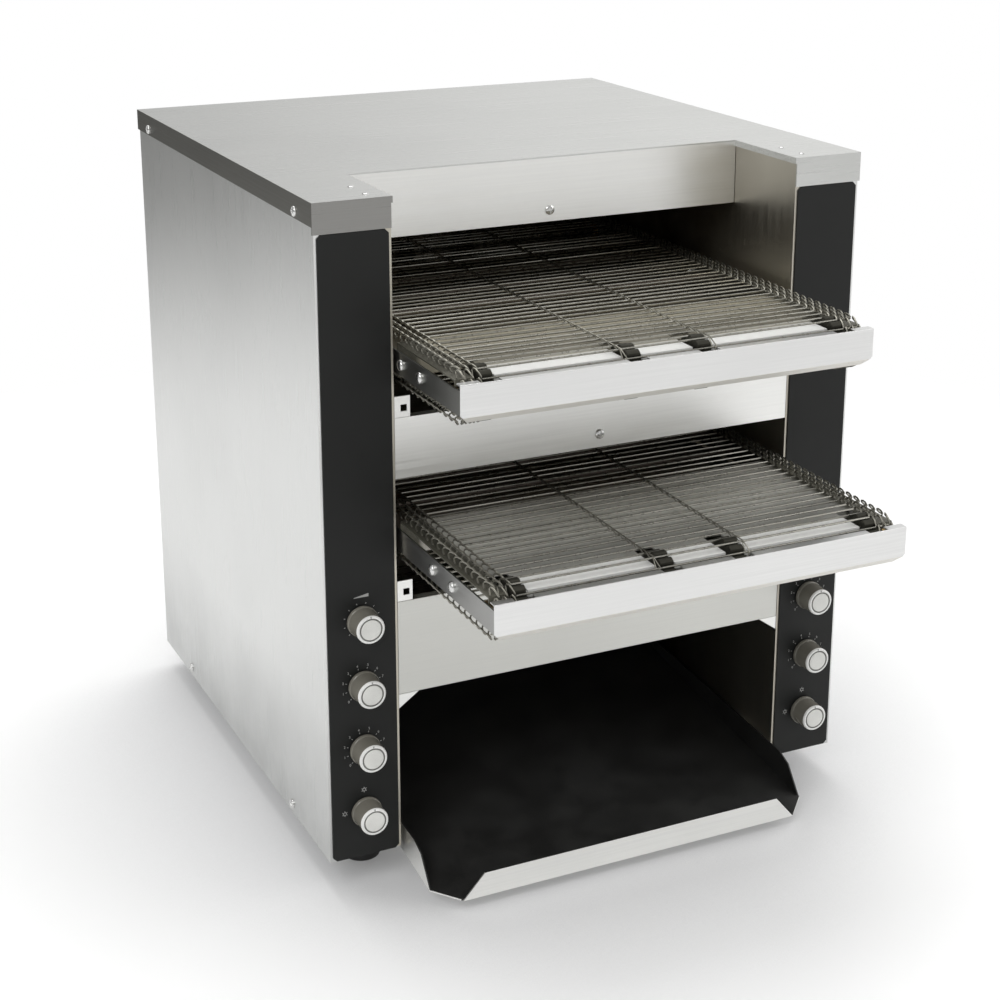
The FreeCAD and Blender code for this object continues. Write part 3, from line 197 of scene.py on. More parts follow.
# %% Steel
def steel(name, colour, waves, rough=(0.24, 0.36), height=0.000012, uneven=0.04, streak=0.035,
          scorch_and_shade=None, metal=1.0):
    """Brushed metal. Waves are the scratches in a metre along X, Y and Z. scorch_and_shade is a darker
    colour with the axis and the two places between which the sheet turns to it: heat browning on some
    parts, painted shade on others. A metal share under 1 makes the sheet partly diffuse, as use dulls
    it; on the guard's lip it helps paint light onto a face that looks down."""
    material, tree, shader = finish(name, colour, metallic=metal)
    scratches = noise(tree, waves, detail=4.0, rough=0.65)
    clouds = noise(tree, 7.0, detail=2.0)
    broad, narrow = between(tree, clouds, 0.0, 1.0), between(tree, scratches, 0.0, 1.0)
    tone = tint(tree, broad, shade(colour, 1 - uneven), shade(colour, 1 + uneven))
    fine = tint(tree, narrow, shade(colour, 1 - 2 * streak), shade(colour, 1 + streak))
    tone = tint(tree, between(tree, clouds, 0.35, 0.65), tone, fine)
    if scorch_and_shade:
        deep_tone, axis, start, end = scorch_and_shade
        patch = between(tree, noise(tree, (9.0, 14.0, 11.0), detail=5.0), 0.55, 1.0)
        tone = tint(tree, times(tree, along(tree, axis, start, end), patch), tone, deep_tone)
    tree.links.new(tone, shader.inputs["Base Color"])
    tree.links.new(between(tree, scratches, *rough), shader.inputs["Roughness"])
    relief(tree, shader, scratches, 0.35, height)
    return material


UPRIGHT, ACROSS, LENGTHWISE = (620.0, 620.0, 9.0), (9.0, 620.0, 620.0), (620.0, 9.0, 620.0)
steel("cover_steel", (0.65, 0.655, 0.64), ACROSS, rough=(0.26, 0.35), streak=0.025)
# The cover's side edges and its front end over the left panel are darker copies of its steel: painted shade.
steel("cover_edge_shaded_steel", (0.165, 0.162, 0.146), LENGTHWISE, rough=(0.30, 0.42))
steel("cover_cap_shaded_steel", (0.30, 0.296, 0.285), ACROSS, rough=(0.26, 0.38))
# The side panels turn darker towards their feet: painted shade.
steel("side_steel", (0.76, 0.765, 0.755), UPRIGHT, rough=(0.27, 0.34), streak=0.02,
      scorch_and_shade=((0.50, 0.505, 0.50), "Z", 0.15, 0.04))
steel("sheet_steel", (0.90, 0.90, 0.88), ACROSS, rough=(0.30, 0.42))
# The lower cross sheet's steel is a darker copy of the others': painted shade.
steel("low_sheet_shaded_steel", (0.64, 0.64, 0.61), ACROSS, rough=(0.34, 0.46))
steel("guard_steel", (0.80, 0.80, 0.795), ACROSS, rough=(0.30, 0.40), uneven=0.03)
# The guard's lip faces down, and a paler, warmer, mostly diffuse copy of the steel paints light onto it.
steel("guard_lip_lit_steel", (0.84, 0.82, 0.77), ACROSS, rough=(0.42, 0.52), uneven=0.03, metal=0.3)
# The upper rail's steel is a darker copy of the lower one's: painted shade.
steel("upper_rail_steel", (0.28, 0.28, 0.265), LENGTHWISE, rough=(0.30, 0.42))
# The lower rail turns darker and browner where it runs into the case.
steel("lower_rail_steel", (0.44, 0.44, 0.43), LENGTHWISE, rough=(0.28, 0.40),
      scorch_and_shade=((0.12, 0.11, 0.09), "Y", -0.18, -0.08))
# The chamber walls turn darker and browner deeper inside: heat browning and painted shade.
steel("chamber_steel", (0.55, 0.52, 0.45), UPRIGHT, rough=(0.32, 0.44),
      scorch_and_shade=((0.085, 0.06, 0.038), "Y", -0.11, 0.04))
steel("reflector_steel", (0.74, 0.73, 0.70), ACROSS, rough=(0.15, 0.28),
      scorch_and_shade=((0.28, 0.21, 0.14), "Y", -0.05, 0.25))
steel("slide_steel", (0.52, 0.50, 0.46), ACROSS, scorch_and_shade=((0.22, 0.15, 0.09), "Z", 0.10, 0.45))
steel("back_steel", (0.66, 0.665, 0.655), ACROSS, rough=(0.30, 0.44))
steel("wire_steel", (0.38, 0.37, 0.33), (240.0, 240.0, 240.0), rough=(0.22, 0.40), uneven=0.12)
steel("hook_steel", (0.31, 0.30, 0.26), (240.0, 240.0, 240.0), rough=(0.34, 0.55), uneven=0.25)
steel("tooth_steel", (0.060, 0.058, 0.048), (160.0, 300.0, 300.0), rough=(0.55, 0.75), uneven=0.2)
steel("shaft_steel", (0.55, 0.55, 0.54), (500.0, 60.0, 60.0), rough=(0.18, 0.30))
steel("heater_steel", (0.20, 0.17, 0.15), (30.0, 200.0, 200.0), rough=(0.38, 0.60), uneven=0.25)
steel("chain_steel", (0.20, 0.19, 0.175), (300.0, 300.0, 300.0), rough=(0.25, 0.50), uneven=0.2)
steel("screw_steel", (0.72, 0.72, 0.71), (700.0, 700.0, 700.0), rough=(0.14, 0.30))
steel("bush_bronze", (0.62, 0.44, 0.22), (400.0, 900.0, 900.0), rough=(0.30, 0.45))


# Places of the painted highlight, the band of painted shade and the painted shade at the bed's edges.
HIGHLIGHT_STRIP_END, SHADE_BAND_START, SHADE_BAND_END = (0.015, 0.011), (0.012, 0.020), (0.075, 0.040)
BROWNED, BED_EDGE_SHADE = (0.12, 0.24), (0.150, 0.155)


def bed_steel(level, colour, metal, deep_tone):
    """The sheet under a belt: a painted highlight along its front fold, a band of painted shade behind
    it, then plain sheet that heat has browned further in, and painted shade at the edges under the
    belt's curls. Each zone is a ramp between two distances from the front shaft, or from the middle for
    the edges."""
    front = (LEVELS[level][0] + FRONT) * 0.001
    scorch_and_shade = (deep_tone, "Y", front + BROWNED[0], front + BROWNED[1])
    name = f"{level}_bed_steel"
    material = steel(name, colour, ACROSS, rough=(0.42, 0.58), scorch_and_shade=scorch_and_shade, metal=metal)
    tree = material.node_tree
    shader = tree.nodes["Principled BSDF"]
    plain = shader.inputs["Base Color"].links[0].from_socket
    strip, behind, before = [along(tree, "Y", front + start, front + end)
                             for start, end in (HIGHLIGHT_STRIP_END, SHADE_BAND_START, SHADE_BAND_END)]
    band = times(tree, behind, before)
    left, right = [along(tree, "X", sign * BED_EDGE_SHADE[0], sign * BED_EDGE_SHADE[1]) for sign in (-1, 1)]
    edges = times(tree, left, right, "ADD")
    # The pale, barely metallic strip at the front fold is a painted highlight; the darker band behind it and
    # the dark edges under the curls are painted shade.
    tone = tint(tree, band, plain, shade(colour, 0.55))
    tone = tint(tree, strip, tone, (0.84, 0.84, 0.82))
    tree.links.new(tint(tree, edges, tone, (0.13, 0.125, 0.10)), shader.inputs["Base Color"])
    tree.links.new(between(tree, strip, metal, 0.05, 0.0, 1.0), shader.inputs["Metallic"])


bed_steel("upper", (0.42, 0.39, 0.31), 0.8, (0.17, 0.14, 0.09))
bed_steel("lower", (0.74, 0.73, 0.68), 0.6, (0.24, 0.16, 0.09))
print("steels:", len(FINISHES))

# %% [markdown]
# Paint, plastic and rubber share another recipe: a fine grain in the surface, a little change of
# tone over its breadth, and a roughness that isn't the same everywhere. The control panels have
# a finely textured black coat, the chute a smooth non-stick one, and the knobs are satin plastic.

# %% Coats and plastics
def coat(name, colour, rough=(0.40, 0.52), grain=1500.0, height=0.00004, vary=0.12, clear=0.0, **more):
    """A moulded or painted surface with a fine grain."""
    material, tree, shader = finish(name, colour, **{"Coat Weight": clear, **more})
    speckle = noise(tree, grain, detail=2.0)
    clouds = noise(tree, 28.0, detail=3.0)
    tone = tint(tree, between(tree, clouds, 0.0, 1.0), shade(colour, 1 - vary), shade(colour, 1 + vary))
    tone = tint(tree, between(tree, speckle, 0.0, 0.35), tone, shade(colour, 1 + 2 * vary))
    tree.links.new(tone, shader.inputs["Base Color"])
    tree.links.new(between(tree, clouds, *rough), shader.inputs["Roughness"])
    relief(tree, shader, speckle, 0.4, height)
    return material


coat("panel_black", (0.0105, 0.0110, 0.0105), rough=(0.46, 0.60), vary=0.15, **{"Specular IOR Level": 0.28})
coat("chute_black", (0.0190, 0.0190, 0.0185), rough=(0.30, 0.46), grain=900.0, height=0.00002, vary=0.25)
coat("knob_taupe", (0.205, 0.195, 0.165), rough=(0.20, 0.28), grain=2200.0, height=0.00001, clear=0.4)
# The knob's pale rim is a painted highlight and its dark groove painted shade.
coat("knob_ring_highlight", (0.88, 0.88, 0.86), rough=(0.26, 0.36), grain=2200.0)
coat("knob_disc", (0.76, 0.76, 0.73), rough=(0.30, 0.42), grain=2200.0)
coat("knob_groove", (0.26, 0.26, 0.245), rough=(0.5, 0.6), grain=2200.0)
coat("print_grey", (0.40, 0.40, 0.39), rough=(0.5, 0.6), grain=3000.0)
coat("foot_rubber", (0.020, 0.020, 0.020), rough=(0.62, 0.78), grain=700.0, height=0.00012)
coat("switch_black", (0.030, 0.030, 0.031), rough=(0.35, 0.5))
coat("fan_black", (0.022, 0.022, 0.023), rough=(0.38, 0.5))
coat("gland_black", (0.026, 0.026, 0.027), rough=(0.30, 0.42))
coat("terminal_cream", (0.62, 0.58, 0.46), rough=(0.35, 0.5))
coat("motor_enamel", (0.085, 0.092, 0.098), rough=(0.28, 0.44), grain=420.0, height=0.00008)
print("finishes:", len(FINISHES))

# %% [markdown]
# A sheet-metal part keeps the CAD's outline, holes and folds, but its edges there are perfectly
# sharp, and no real edge is. Rounding them by half a millimetre gives the thin bright lines that
# make folded steel look like steel. The CAD mesh itself is never changed: a copy is welded, its flat
# faces are made whole again, and a Bevel modifier rounds what is left.

# %% Helper: a CAD part with rounded edges
def settle(thing, name, body, replaces=()):
    """Put a finished piece in the scene, on its body."""
    thing.name = name
    if not thing.users_collection:
        bpy.context.scene.collection.objects.link(thing)
    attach(thing, body)
    if replaces:
        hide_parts(*replaces)
    return thing


def softened(node, finishes, width=0.0005, choose=None, body="case", segments=2):
    """A welded copy of a CAD part with rounded edges. Choose gives each face the number of its
    finish from arrays of the faces' middles and outward directions."""
    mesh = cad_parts[node].data.copy()
    mesh.materials.clear()
    for title in finishes:
        mesh.materials.append(FINISHES[title])
    weld = bmesh.new()
    weld.from_mesh(mesh)
    bmesh.ops.remove_doubles(weld, verts=weld.verts, dist=0.000004)
    bmesh.ops.dissolve_limit(weld, angle_limit=math.radians(1.0), verts=weld.verts, edges=weld.edges,
                             delimit={"NORMAL"})
    weld.to_mesh(mesh)
    weld.free()
    if choose:
        middles = np.zeros(len(mesh.polygons) * 3)
        normals = np.zeros(len(mesh.polygons) * 3)
        mesh.polygons.foreach_get("center", middles)
        mesh.polygons.foreach_get("normal", normals)
        picks = choose(middles.reshape(-1, 3), normals.reshape(-1, 3)).astype(np.int32)
        mesh.polygons.foreach_set("material_index", picks)
    mesh.shade_smooth()
    mesh.set_sharp_from_angle(angle=math.radians(32))
    thing = bpy.data.objects.new("soft_" + node, mesh)
    bevel = thing.modifiers.new("rounded", "BEVEL")
    bevel.width, bevel.segments, bevel.limit_method = width, segments, "ANGLE"
    bevel.angle_limit = math.radians(32)
    bevel.harden_normals = True
    bevel.use_clamp_overlap = True
    return settle(thing, "soft_" + node, body, [node])


def dress(node, title):
    """Give a CAD part its finish."""
    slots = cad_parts[node].data.materials
    slots.clear()
    slots.append(FINISHES[title])


print("edges are rounded by half a millimetre")

# %% [markdown]
# The cover is one sheet over the case, notched at the front and folded down all round. Its long
# side edges look much darker than its top, and the faces that look sideways get a darker finish of
# their own, as does its front end over the left panel: both are painted shade.

# %% Cover, side panels and back
def cover_faces(middles, normals):
    """The folded side edges are finish 1, the front end over the left panel 2, both painted shade, and the
    rest 0.
    """
    edge = (np.abs(normals[:, 0]) > 0.7) & (np.abs(middles[:, 0]) > 0.2345)
    cap = (normals[:, 1] < -0.7) & (middles[:, 1] < -0.152) & (middles[:, 0] < 0)
    return edge * 1 + cap * 2


softened("top_cover", ["cover_steel", "cover_edge_shaded_steel", "cover_cap_shaded_steel"], width=0.0009,
         choose=cover_faces, segments=3)
for side in ("left", "right"):
    softened(f"{side}_side_panel", ["side_steel"], width=0.0008, segments=3)
    softened(f"{side}_control_panel", ["panel_black"], width=0.0004)
    dress(f"{side}_chamber_wall", "chamber_steel")
softened("rear_panel", ["back_steel"], width=0.0003)
dress("base_pan", "back_steel")
print("case dressed")

# %% [markdown]
# Between the openings run three cross sheets, with small angle brackets at their ends. Behind
# them are the bright reflectors and the curved slide, all browned by the heat.

# %% Cross sheets, reflectors and slide
for level in ("upper", "middle", "lower"):
    # The lower cross sheet gets the darker copy of the steel: painted shade.
    title = "low_sheet_shaded_steel" if level == "lower" else "sheet_steel"
    softened(f"{level}_fascia", [title], width=0.0005)
softened("fascia_brackets", ["sheet_steel"], width=0.0003)
dress("reflectors", "reflector_steel")
softened("rear_slide", ["slide_steel"], width=0.0004)
print("cross sheets dressed")

# %% [markdown]
# The chute is a tray of stainless steel whose inside is coated black so that toast slides off. The
# coat ends at the sheet's edges, so a face is black where it looks up or inwards and bright where
# it looks down or outwards.

# %% Chute
def chute_faces(middles, normals):
    """Finish 0 is the coated inside and 1 the bare outside, told by which way a face looks."""
    inward = -np.sign(middles[:, 0]) * normals[:, 0]
    up, back = normals[:, 2], normals[:, 1]
    wall = np.abs(normals[:, 0]) > 0.5
    return np.where(wall, inward < 0, (up < -0.3) | (back < -0.7) & (np.abs(middles[:, 0]) < 0.14))


softened("discharge_chute", ["chute_black", "sheet_steel"], width=0.0004, choose=chute_faces,
         body="discharge_chute")
print("chute dressed")

# %% [markdown]
# Everything below is made from surfaces: a grid of points, each joined to its neighbours by a small
# four-sided face. The points are worked out as whole arrays. `patch` makes the faces, `joined` puts
# many patches into one piece, and a weld closes seams and the points where a grid shrinks to a pole.
# Faces are then turned outwards, which works because every shell here is closed.

# %% Helpers for surfaces
def patch(points, ring=True):
    """Corners and faces of one or many grids. The last three axes are rows, columns and x y z. With
    ring, the last column is joined to the first."""
    points = np.asarray(points, float)
    rows, columns = points.shape[-3:-1]
    cells = np.arange(rows * columns).reshape(rows, columns)
    if ring:
        cells = np.hstack([cells, cells[:, :1]])
    faces = np.stack([cells[:-1, :-1], cells[:-1, 1:], cells[1:, 1:], cells[1:, :-1]], axis=-1).reshape(-1, 4)
    copies = points.reshape(-1, rows * columns, 3)
    steps = np.arange(len(copies))[:, None, None] * rows * columns
    return copies.reshape(-1, 3), (faces[None] + steps).reshape(-1, 4)


def joined(*patches):
    """Several patches as one."""
    starts = np.cumsum([0] + [len(corners) for corners, _ in patches])
    return (np.concatenate([corners for corners, _ in patches]),
            np.concatenate([faces + start for (_, faces), start in zip(patches, starts)]))


def made(name, patches, finishes, body, replaces=(), smooth=35.0):
    """A piece from patches, one finish for each patch."""
    corners, faces = joined(*patches)
    mesh = bpy.data.meshes.new(name)
    mesh.from_pydata(corners.tolist(), [], faces.tolist())
    order = list(dict.fromkeys(finishes))
    for title in order:
        mesh.materials.append(FINISHES[title])
    picks = np.concatenate([np.full(len(part[1]), order.index(title))
                            for part, title in zip(patches, finishes)])
    mesh.polygons.foreach_set("material_index", picks.astype(np.int32))
    weld = bmesh.new()
    weld.from_mesh(mesh)
    bmesh.ops.remove_doubles(weld, verts=weld.verts, dist=0.000002)
    bmesh.ops.recalc_face_normals(weld, faces=weld.faces)
    weld.to_mesh(mesh)
    weld.free()
    mesh.shade_smooth()
    mesh.set_sharp_from_angle(angle=math.radians(smooth))
    thing = bpy.data.objects.new(name, mesh)
    return settle(thing, name, body, replaces)


def wires(paths, radius, sides=6):
    """Round wire along each path. At every point stands a ring square to the path: the point plus the
    radius times cosine and sine of the way round, on two directions across the path. The ends close
    to a pole."""
    paths = np.asarray(paths, float)
    ahead = np.gradient(paths, axis=-2)
    ahead /= np.linalg.norm(ahead, axis=-1, keepdims=True)
    paths = np.concatenate([paths[..., :1, :], paths, paths[..., -1:, :]], axis=-2)
    ahead = np.concatenate([ahead[..., :1, :], ahead, ahead[..., -1:, :]], axis=-2)
    guide = np.where(np.abs(ahead[..., 2:3]) > 0.9, [0.0, 1.0, 0.0], [0.0, 0.0, 1.0])
    one = np.cross(ahead, guide)
    one /= np.linalg.norm(one, axis=-1, keepdims=True)
    two = np.cross(ahead, one)
    around = np.arange(sides) * 2 * math.pi / sides
    sizes = np.full(paths.shape[-2], float(radius))
    sizes[[0, -1]] = 0.0
    ring = (np.cos(around)[:, None] * one[..., None, :] + np.sin(around)[:, None] * two[..., None, :])
    return patch(paths[..., None, :] + sizes[:, None, None] * ring)


def lathe(profile, around=40):
    """A profile turned about the Z axis. Its rows are pairs of distance from the axis and height."""
    out, up = np.asarray(profile, float).T
    angle = np.arange(around) * 2 * math.pi / around
    return np.stack(np.broadcast_arrays(out[:, None] * np.cos(angle), out[:, None] * np.sin(angle),
                                        up[:, None]), axis=-1)


def stand(points, place, facing):
    """Turn a shape that points up the Z axis so that it points another way, and move it to its place
    in the drawing. Facing is a letter for the way: l, r, f, b or u."""
    x, y, z = np.moveaxis(np.asarray(points, float), -1, 0)
    turned = {"l": (-z, y, x), "r": (z, -y, x), "f": (x, -z, y), "b": (-x, z, y), "u": (x, y, z)}[facing]
    return spot(turned[0] + place[0], turned[1] + place[1], turned[2] + place[2])


print("surface helpers ready")

# %% [markdown]
# A belt is nearly a hundred straight wires. Each hooks round its neighbour at both edges and at two
# places between, and that is what holds the belt together. The belt's line is a loop with a corner at
# every wire: straight above and below, and round the toothed wheels at the ends. `loop_place` walks
# that loop, so a hook is drawn once, flat, and bends by itself where the belt turns.

# %% Where a belt's wires lie
def loop_corners():
    """The places of the wires round one belt, as y and z from its front shaft, with the way out of the
    loop at each. Straight runs hold one wire a pitch; round a wheel they stand a twelfth of a turn apart."""
    run = (np.arange(RUN) + 0.5) * PITCH
    flat = WHEEL * math.cos(math.pi / TEETH)
    turn = np.radians(15 + 30 * np.arange(TEETH // 2))
    far = np.stack([RUN * PITCH + WHEEL * np.sin(turn), WHEEL * np.cos(turn), np.sin(turn), np.cos(turn)], 1)
    near = np.stack([-WHEEL * np.sin(turn), -WHEEL * np.cos(turn), -np.sin(turn), -np.cos(turn)], 1)
    top = np.stack([run, np.full(RUN, flat), np.zeros(RUN), np.ones(RUN)], 1)
    low = np.stack([run[::-1], np.full(RUN, -flat), np.zeros(RUN), -np.ones(RUN)], 1)
    return np.concatenate([top, far, low, near])


LOOP = loop_corners()


def loop_place(steps, height):
    """Places on the loop for a number of steps along it and a height above it. Between two wires the
    place is their weighted mean."""
    steps = np.asarray(steps, float)
    first = np.floor(steps).astype(int)
    share = (steps - first)[..., None]
    row = LOOP[first % len(LOOP)] * (1 - share) + LOOP[(first + 1) % len(LOOP)] * share
    return row[..., 0] + row[..., 2] * height, row[..., 1] + row[..., 3] * height


print("wires in one belt:", len(LOOP))

# %% [markdown]
# The wires are a little uneven on a used belt. Each is drawn with a straight middle and its hooks are
# pieces of their own, so that every repeated shape has only a few dozen faces. The hooks' points
# are x, steps along the belt and height above it. At the edges each wire winds round its neighbour in
# a loose curl, and the curls together make the mottled band beside the rails.

# %% The belts
def edge_curl(turns=2.75, points=26):
    """A wire's end: a curl that goes forward a step and back while it moves out to the rail. Steps are
    half of one less the cosine of the angle, and height follows its sine."""
    angle = np.linspace(0, turns * 2 * math.pi, points)
    out = np.linspace(150.6, 167.6, points)
    return np.stack([out, 0.56 * (1 - np.cos(angle)), 2.1 * np.sin(angle)], -1)


LINK_HOOK = [(35.6, 0.0, 0.0), (36.3, 0.45, 0.5), (37.0, 0.88, 1.0), (37.5, 1.06, 0.5), (38.0, 0.88, 1.0),
             (38.7, 0.45, 0.5), (39.4, 0.0, 0.0)]


def belt_wires(level):
    """All wires and hooks of one belt."""
    front, axis = LEVELS[level]
    chance = np.random.default_rng(7 if level == "upper" else 8)
    each = np.arange(len(LOOP))
    lift = chance.normal(0, 0.12, len(LOOP))
    parts = []
    straight = np.array([(-150.6, 0.0), (-37.5, 0.0), (37.5, 0.0), (150.6, 0.0)])
    bow = np.array([0.0, 1.0, 1.0, 0.0])
    y, z = loop_place(each[:, None] + straight[:, 1], lift[:, None] * bow)
    parts.append(wires(spot(straight[:, 0], y + front, z + axis), 0.00084))
    for hook, thick in ((edge_curl(), 0.00072), (LINK_HOOK, 0.0005)):
        x, step, height = np.array(hook).T
        for sign in (-1, 1):
            y, z = loop_place(each[:, None] + step, height + 0.5 * lift[:, None])
            parts.append(wires(spot(sign * x, y + front, z + axis), thick, sides=5))
    return parts


for level in LEVELS:
    parts = belt_wires(level)
    finishes = ["wire_steel"] + ["hook_steel"] * (len(parts) - 1)
    belt = made(f"{level}_belt_wires", parts, finishes, "case", [f"{level}_belt"], smooth=60)
    print(level, "belt has", len(belt.data.polygons), "faces")

# %% [markdown]
# Each belt lies on a bright bed between two rails, and a folded guard crosses its front end. Rods
# that heat the bread lie above the belt and between its two runs.

# %% Rails, guards, beds and rods
def guard_faces(middles, normals):
    """Finish 1 is the slanting lip under a guard's face, a paler and more diffuse copy of its steel that
    paints light onto it, and 0 the rest.
    """
    return (normals[:, 1] < -0.3) & (normals[:, 2] < -0.3)


for level in LEVELS:
    for side in ("left", "right"):
        softened(f"{level}_{side}_rail", [f"{level}_rail_steel"], width=0.0003)
    softened(f"{level}_guard", ["guard_steel", "guard_lip_lit_steel"], width=0.00055,
             choose=guard_faces, segments=3)
    dress(f"{level}_bed", f"{level}_bed_steel")
    dress(f"{level}_elements", "heater_steel")
    dress(f"{level}_front_shaft", "shaft_steel")
    dress(f"{level}_drive_shaft", "shaft_steel")
    dress(f"{level}_front_sprockets", "tooth_steel")
    dress(f"{level}_drive_sprockets", "tooth_steel")
    dress(f"{level}_motor_wheel", "tooth_steel")
    dress(f"{level}_chain", "chain_steel")
    softened(f"{level}_gear_motor", ["motor_enamel"], width=0.0012)
dress("shaft_bushes", "bush_bronze")
print("conveyors dressed")

# %% [markdown]
# Toothed wheels drive the belt. Their teeth stand up between two wires and show as dark blocks over
# the guard. The outline of a wheel repeats twelve times: a flank, a rounded tip, a flank and a flat
# root. The CAD keeps its teeth low so that they never cut the belt when they turn, so the front wheels
# get their full teeth here.

# %% Toothed wheels at the front
def wheel_outline(teeth=TEETH):
    """Places round one wheel, as y and z. Each tooth has ten, set by their distance from the axis and
    their half width there: the pair turns by the tooth's own angle."""
    side = np.array([(17.6, -3.9), (18.0, -3.3), (19.4, -2.9), (20.3, -2.2), (20.6, -1.2)])
    tooth = np.concatenate([side, side[::-1] * (1, -1)])
    angle = np.arange(teeth)[:, None] * 2 * math.pi / teeth
    up, out = tooth[None, :, 0], tooth[None, :, 1]
    y = out * np.cos(angle) + up * np.sin(angle)
    z = up * np.cos(angle) - out * np.sin(angle)
    return y.ravel(), z.ravel()


def toothed_wheel(level, middle, half=5.5, bore=4.78, nip=0.4):
    """One closed wheel: its outline at both faces with a small chamfer, and a round bore."""
    front, axis = LEVELS[level]
    y, z = wheel_outline()
    out = np.hypot(y, z)
    hole, face, rim = bore / out, (out - nip) / out, np.ones(len(y))
    rows = [(half, hole), (half, face), (half - nip, rim), (nip - half, rim), (-half, face), (-half, hole),
            (half, hole)]
    return np.stack([spot(middle + x, front + y * share, axis + z * share) for x, share in rows])


for level in LEVELS:
    wheels = [patch(toothed_wheel(level, x)) for x in (-147.5, -29.5, 29.5, 147.5)]
    made(f"{level}_toothed_wheels", wheels, ["tooth_steel"] * 4, f"{level}_front_axle",
         [f"{level}_front_sprockets"], smooth=25)
print("front wheels:", 4 * len(LEVELS))

# %% [markdown]
# The screws have domed heads with a cross cut into them. A dome is a grid of rings: its height is a
# piece of a circle, and inside the arms of the cross the height drops. The rail bolts are the same
# shape with a plain dome.

# %% Screw heads
def dome(radius, tall, cross=0.0, rings=12, around=48):
    """A domed head standing on its underside. Height is tall times the root of one less the square of
    the distance over the radius, less the depth of a cross recess whose arms fade out at their ends."""
    out = np.linspace(0, 1, rings)[:, None] ** 0.8
    angle = (np.arange(around) + 0.5) * 2 * math.pi / around
    x, y = radius * out * np.cos(angle), radius * out * np.sin(angle)
    height = tall * (0.35 + 0.65 * np.sqrt(np.clip(1 - out ** 2, 0, 1))) * np.ones_like(x)
    arm = np.minimum(np.abs(x), np.abs(y)) < 0.16 * radius
    height = height - cross * (arm & (out < 0.62))
    skirt = np.stack([radius * np.cos(angle), radius * np.sin(angle), np.zeros(around)], -1)
    foot = np.stack([0 * angle, 0 * angle, 0 * angle], -1)
    return np.concatenate([np.stack([x, y, height], -1), skirt[None], foot[None]])


def shank(radius, length, around=10):
    """The round bar under a head, reaching down from its underside."""
    return lathe([(0, 0.2), (radius, 0.2), (radius, -length), (0, -length)], around)


def case_screw_places():
    """Where the case's screws sit, with the way each faces."""
    places = []
    for sign, way in ((-1, "l"), (1, "r")):
        places += [(way, (sign * WIDTH / 2, y, HEIGHT - 12.6)) for y in (36.5, 425)]
        places += [(way, (sign * (WIDTH / 2 - GAUGE), y, 8)) for y in (89, 374)]
        places += [("b", (sign * 228.8, DEPTH - GAUGE, z)) for z in (32, 264, 496)]
        places += [("b", (sign * 52.5, DEPTH - GAUGE, 250 + lift)) for lift in (-52.5, 52.5)]
    return places + [("f", (0, 91, 484.5)), ("f", (0, GAUGE, 322))]


heads = []
for way, place in case_screw_places():
    heads.append(patch(stand(dome(4.0, 2.2, cross=1.0), place, way)))
    heads.append(patch(stand(shank(2.0, 8.0), place, way)))
for sign in (-1, 1):
    for y in (15, 44):
        heads.append(patch(stand(dome(2.4, 0.9, rings=6, around=24), (sign * 188, y, HEIGHT), "u")))
made("case_screw_heads", heads, ["screw_steel"] * len(heads), "case", ["case_screws"], smooth=50)
print("screws and rivets:", len(heads) // 2)

# %% [markdown]
# Four bolts hold each rail: two domed ones near its front, which shine in the photograph, and two
# long ones that pass through a spacer into the chamber wall.

# %% Rail bolts
def collar(bore, radius, start, end, around=24):
    """A ring with a bore, as a turned closed profile."""
    nip = 0.3
    return lathe([(bore, start), (radius - nip, start), (radius, start + nip), (radius, end - nip),
                  (radius - nip, end), (bore, end), (bore, start)], around)


bolts = []
for front, axis in LEVELS.values():
    for sign, way in ((-1, "l"), (1, "r")):
        for y in (48.6, 83.9):
            place = (sign * RAIL, front + y, axis)
            bolts.append(patch(stand(dome(4.4, 2.9, rings=10, around=28), place, way)))
            bolts.append(patch(stand(shank(2.5, 4.0), place, way)))
        for y in (243.0, 391.0):
            place = (sign * RAIL, front + y, axis)
            bolts.append(patch(stand(collar(2.9, 4.4, 0.0, 3.0), place, way)))
            bolts.append(patch(stand(collar(2.9, 4.4, -4.1, -1.5), place, way)))
            wall = (sign * 175.2, front + y, axis)
            bolts.append(patch(stand(dome(4.4, 2.6, rings=8, around=24), wall, way)))
            bolts.append(patch(stand(shank(2.5, 9.5), wall, way)))
made("rail_bolt_heads", bolts, ["screw_steel"] * len(bolts), "case", ["rail_bolts"], smooth=50)
print("parts of rail bolts:", len(bolts))

# %% [markdown]
# A knob is a turned shape: a wide skirt, a body that narrows a little, a rim painted pale as a
# highlight, a groove painted dark as shade and a pale disc in the middle. It is drawn as one profile
# in four bands, each with its own finish, and the bands meet at shared rings, which the weld makes one.
# A short grey bar on the rim points to the number that is set.

# %% Knobs
KNOB_BANDS = [
    ("knob_taupe", [(0, 0.9), (10.8, 0.9), (12.2, 1.0), (12.5, 1.3), (12.5, 3.5), (12.25, 3.95),
                    (11.95, 4.2), (11.85, 5.0), (11.35, 18.3)]),
    ("knob_ring_highlight", [(11.35, 18.3), (11.3, 18.9), (11.05, 19.5), (10.6, 19.9), (10.1, 20.0), (9.5, 20.0),
                   (9.25, 19.85)]),
    ("knob_groove", [(9.25, 19.85), (9.2, 18.9), (8.15, 18.9), (8.1, 19.6)]),
    ("knob_disc", [(8.1, 19.6), (7.95, 19.9), (7.5, 20.0), (5.0, 20.0), (2.5, 20.0), (0, 20.0)]),
]


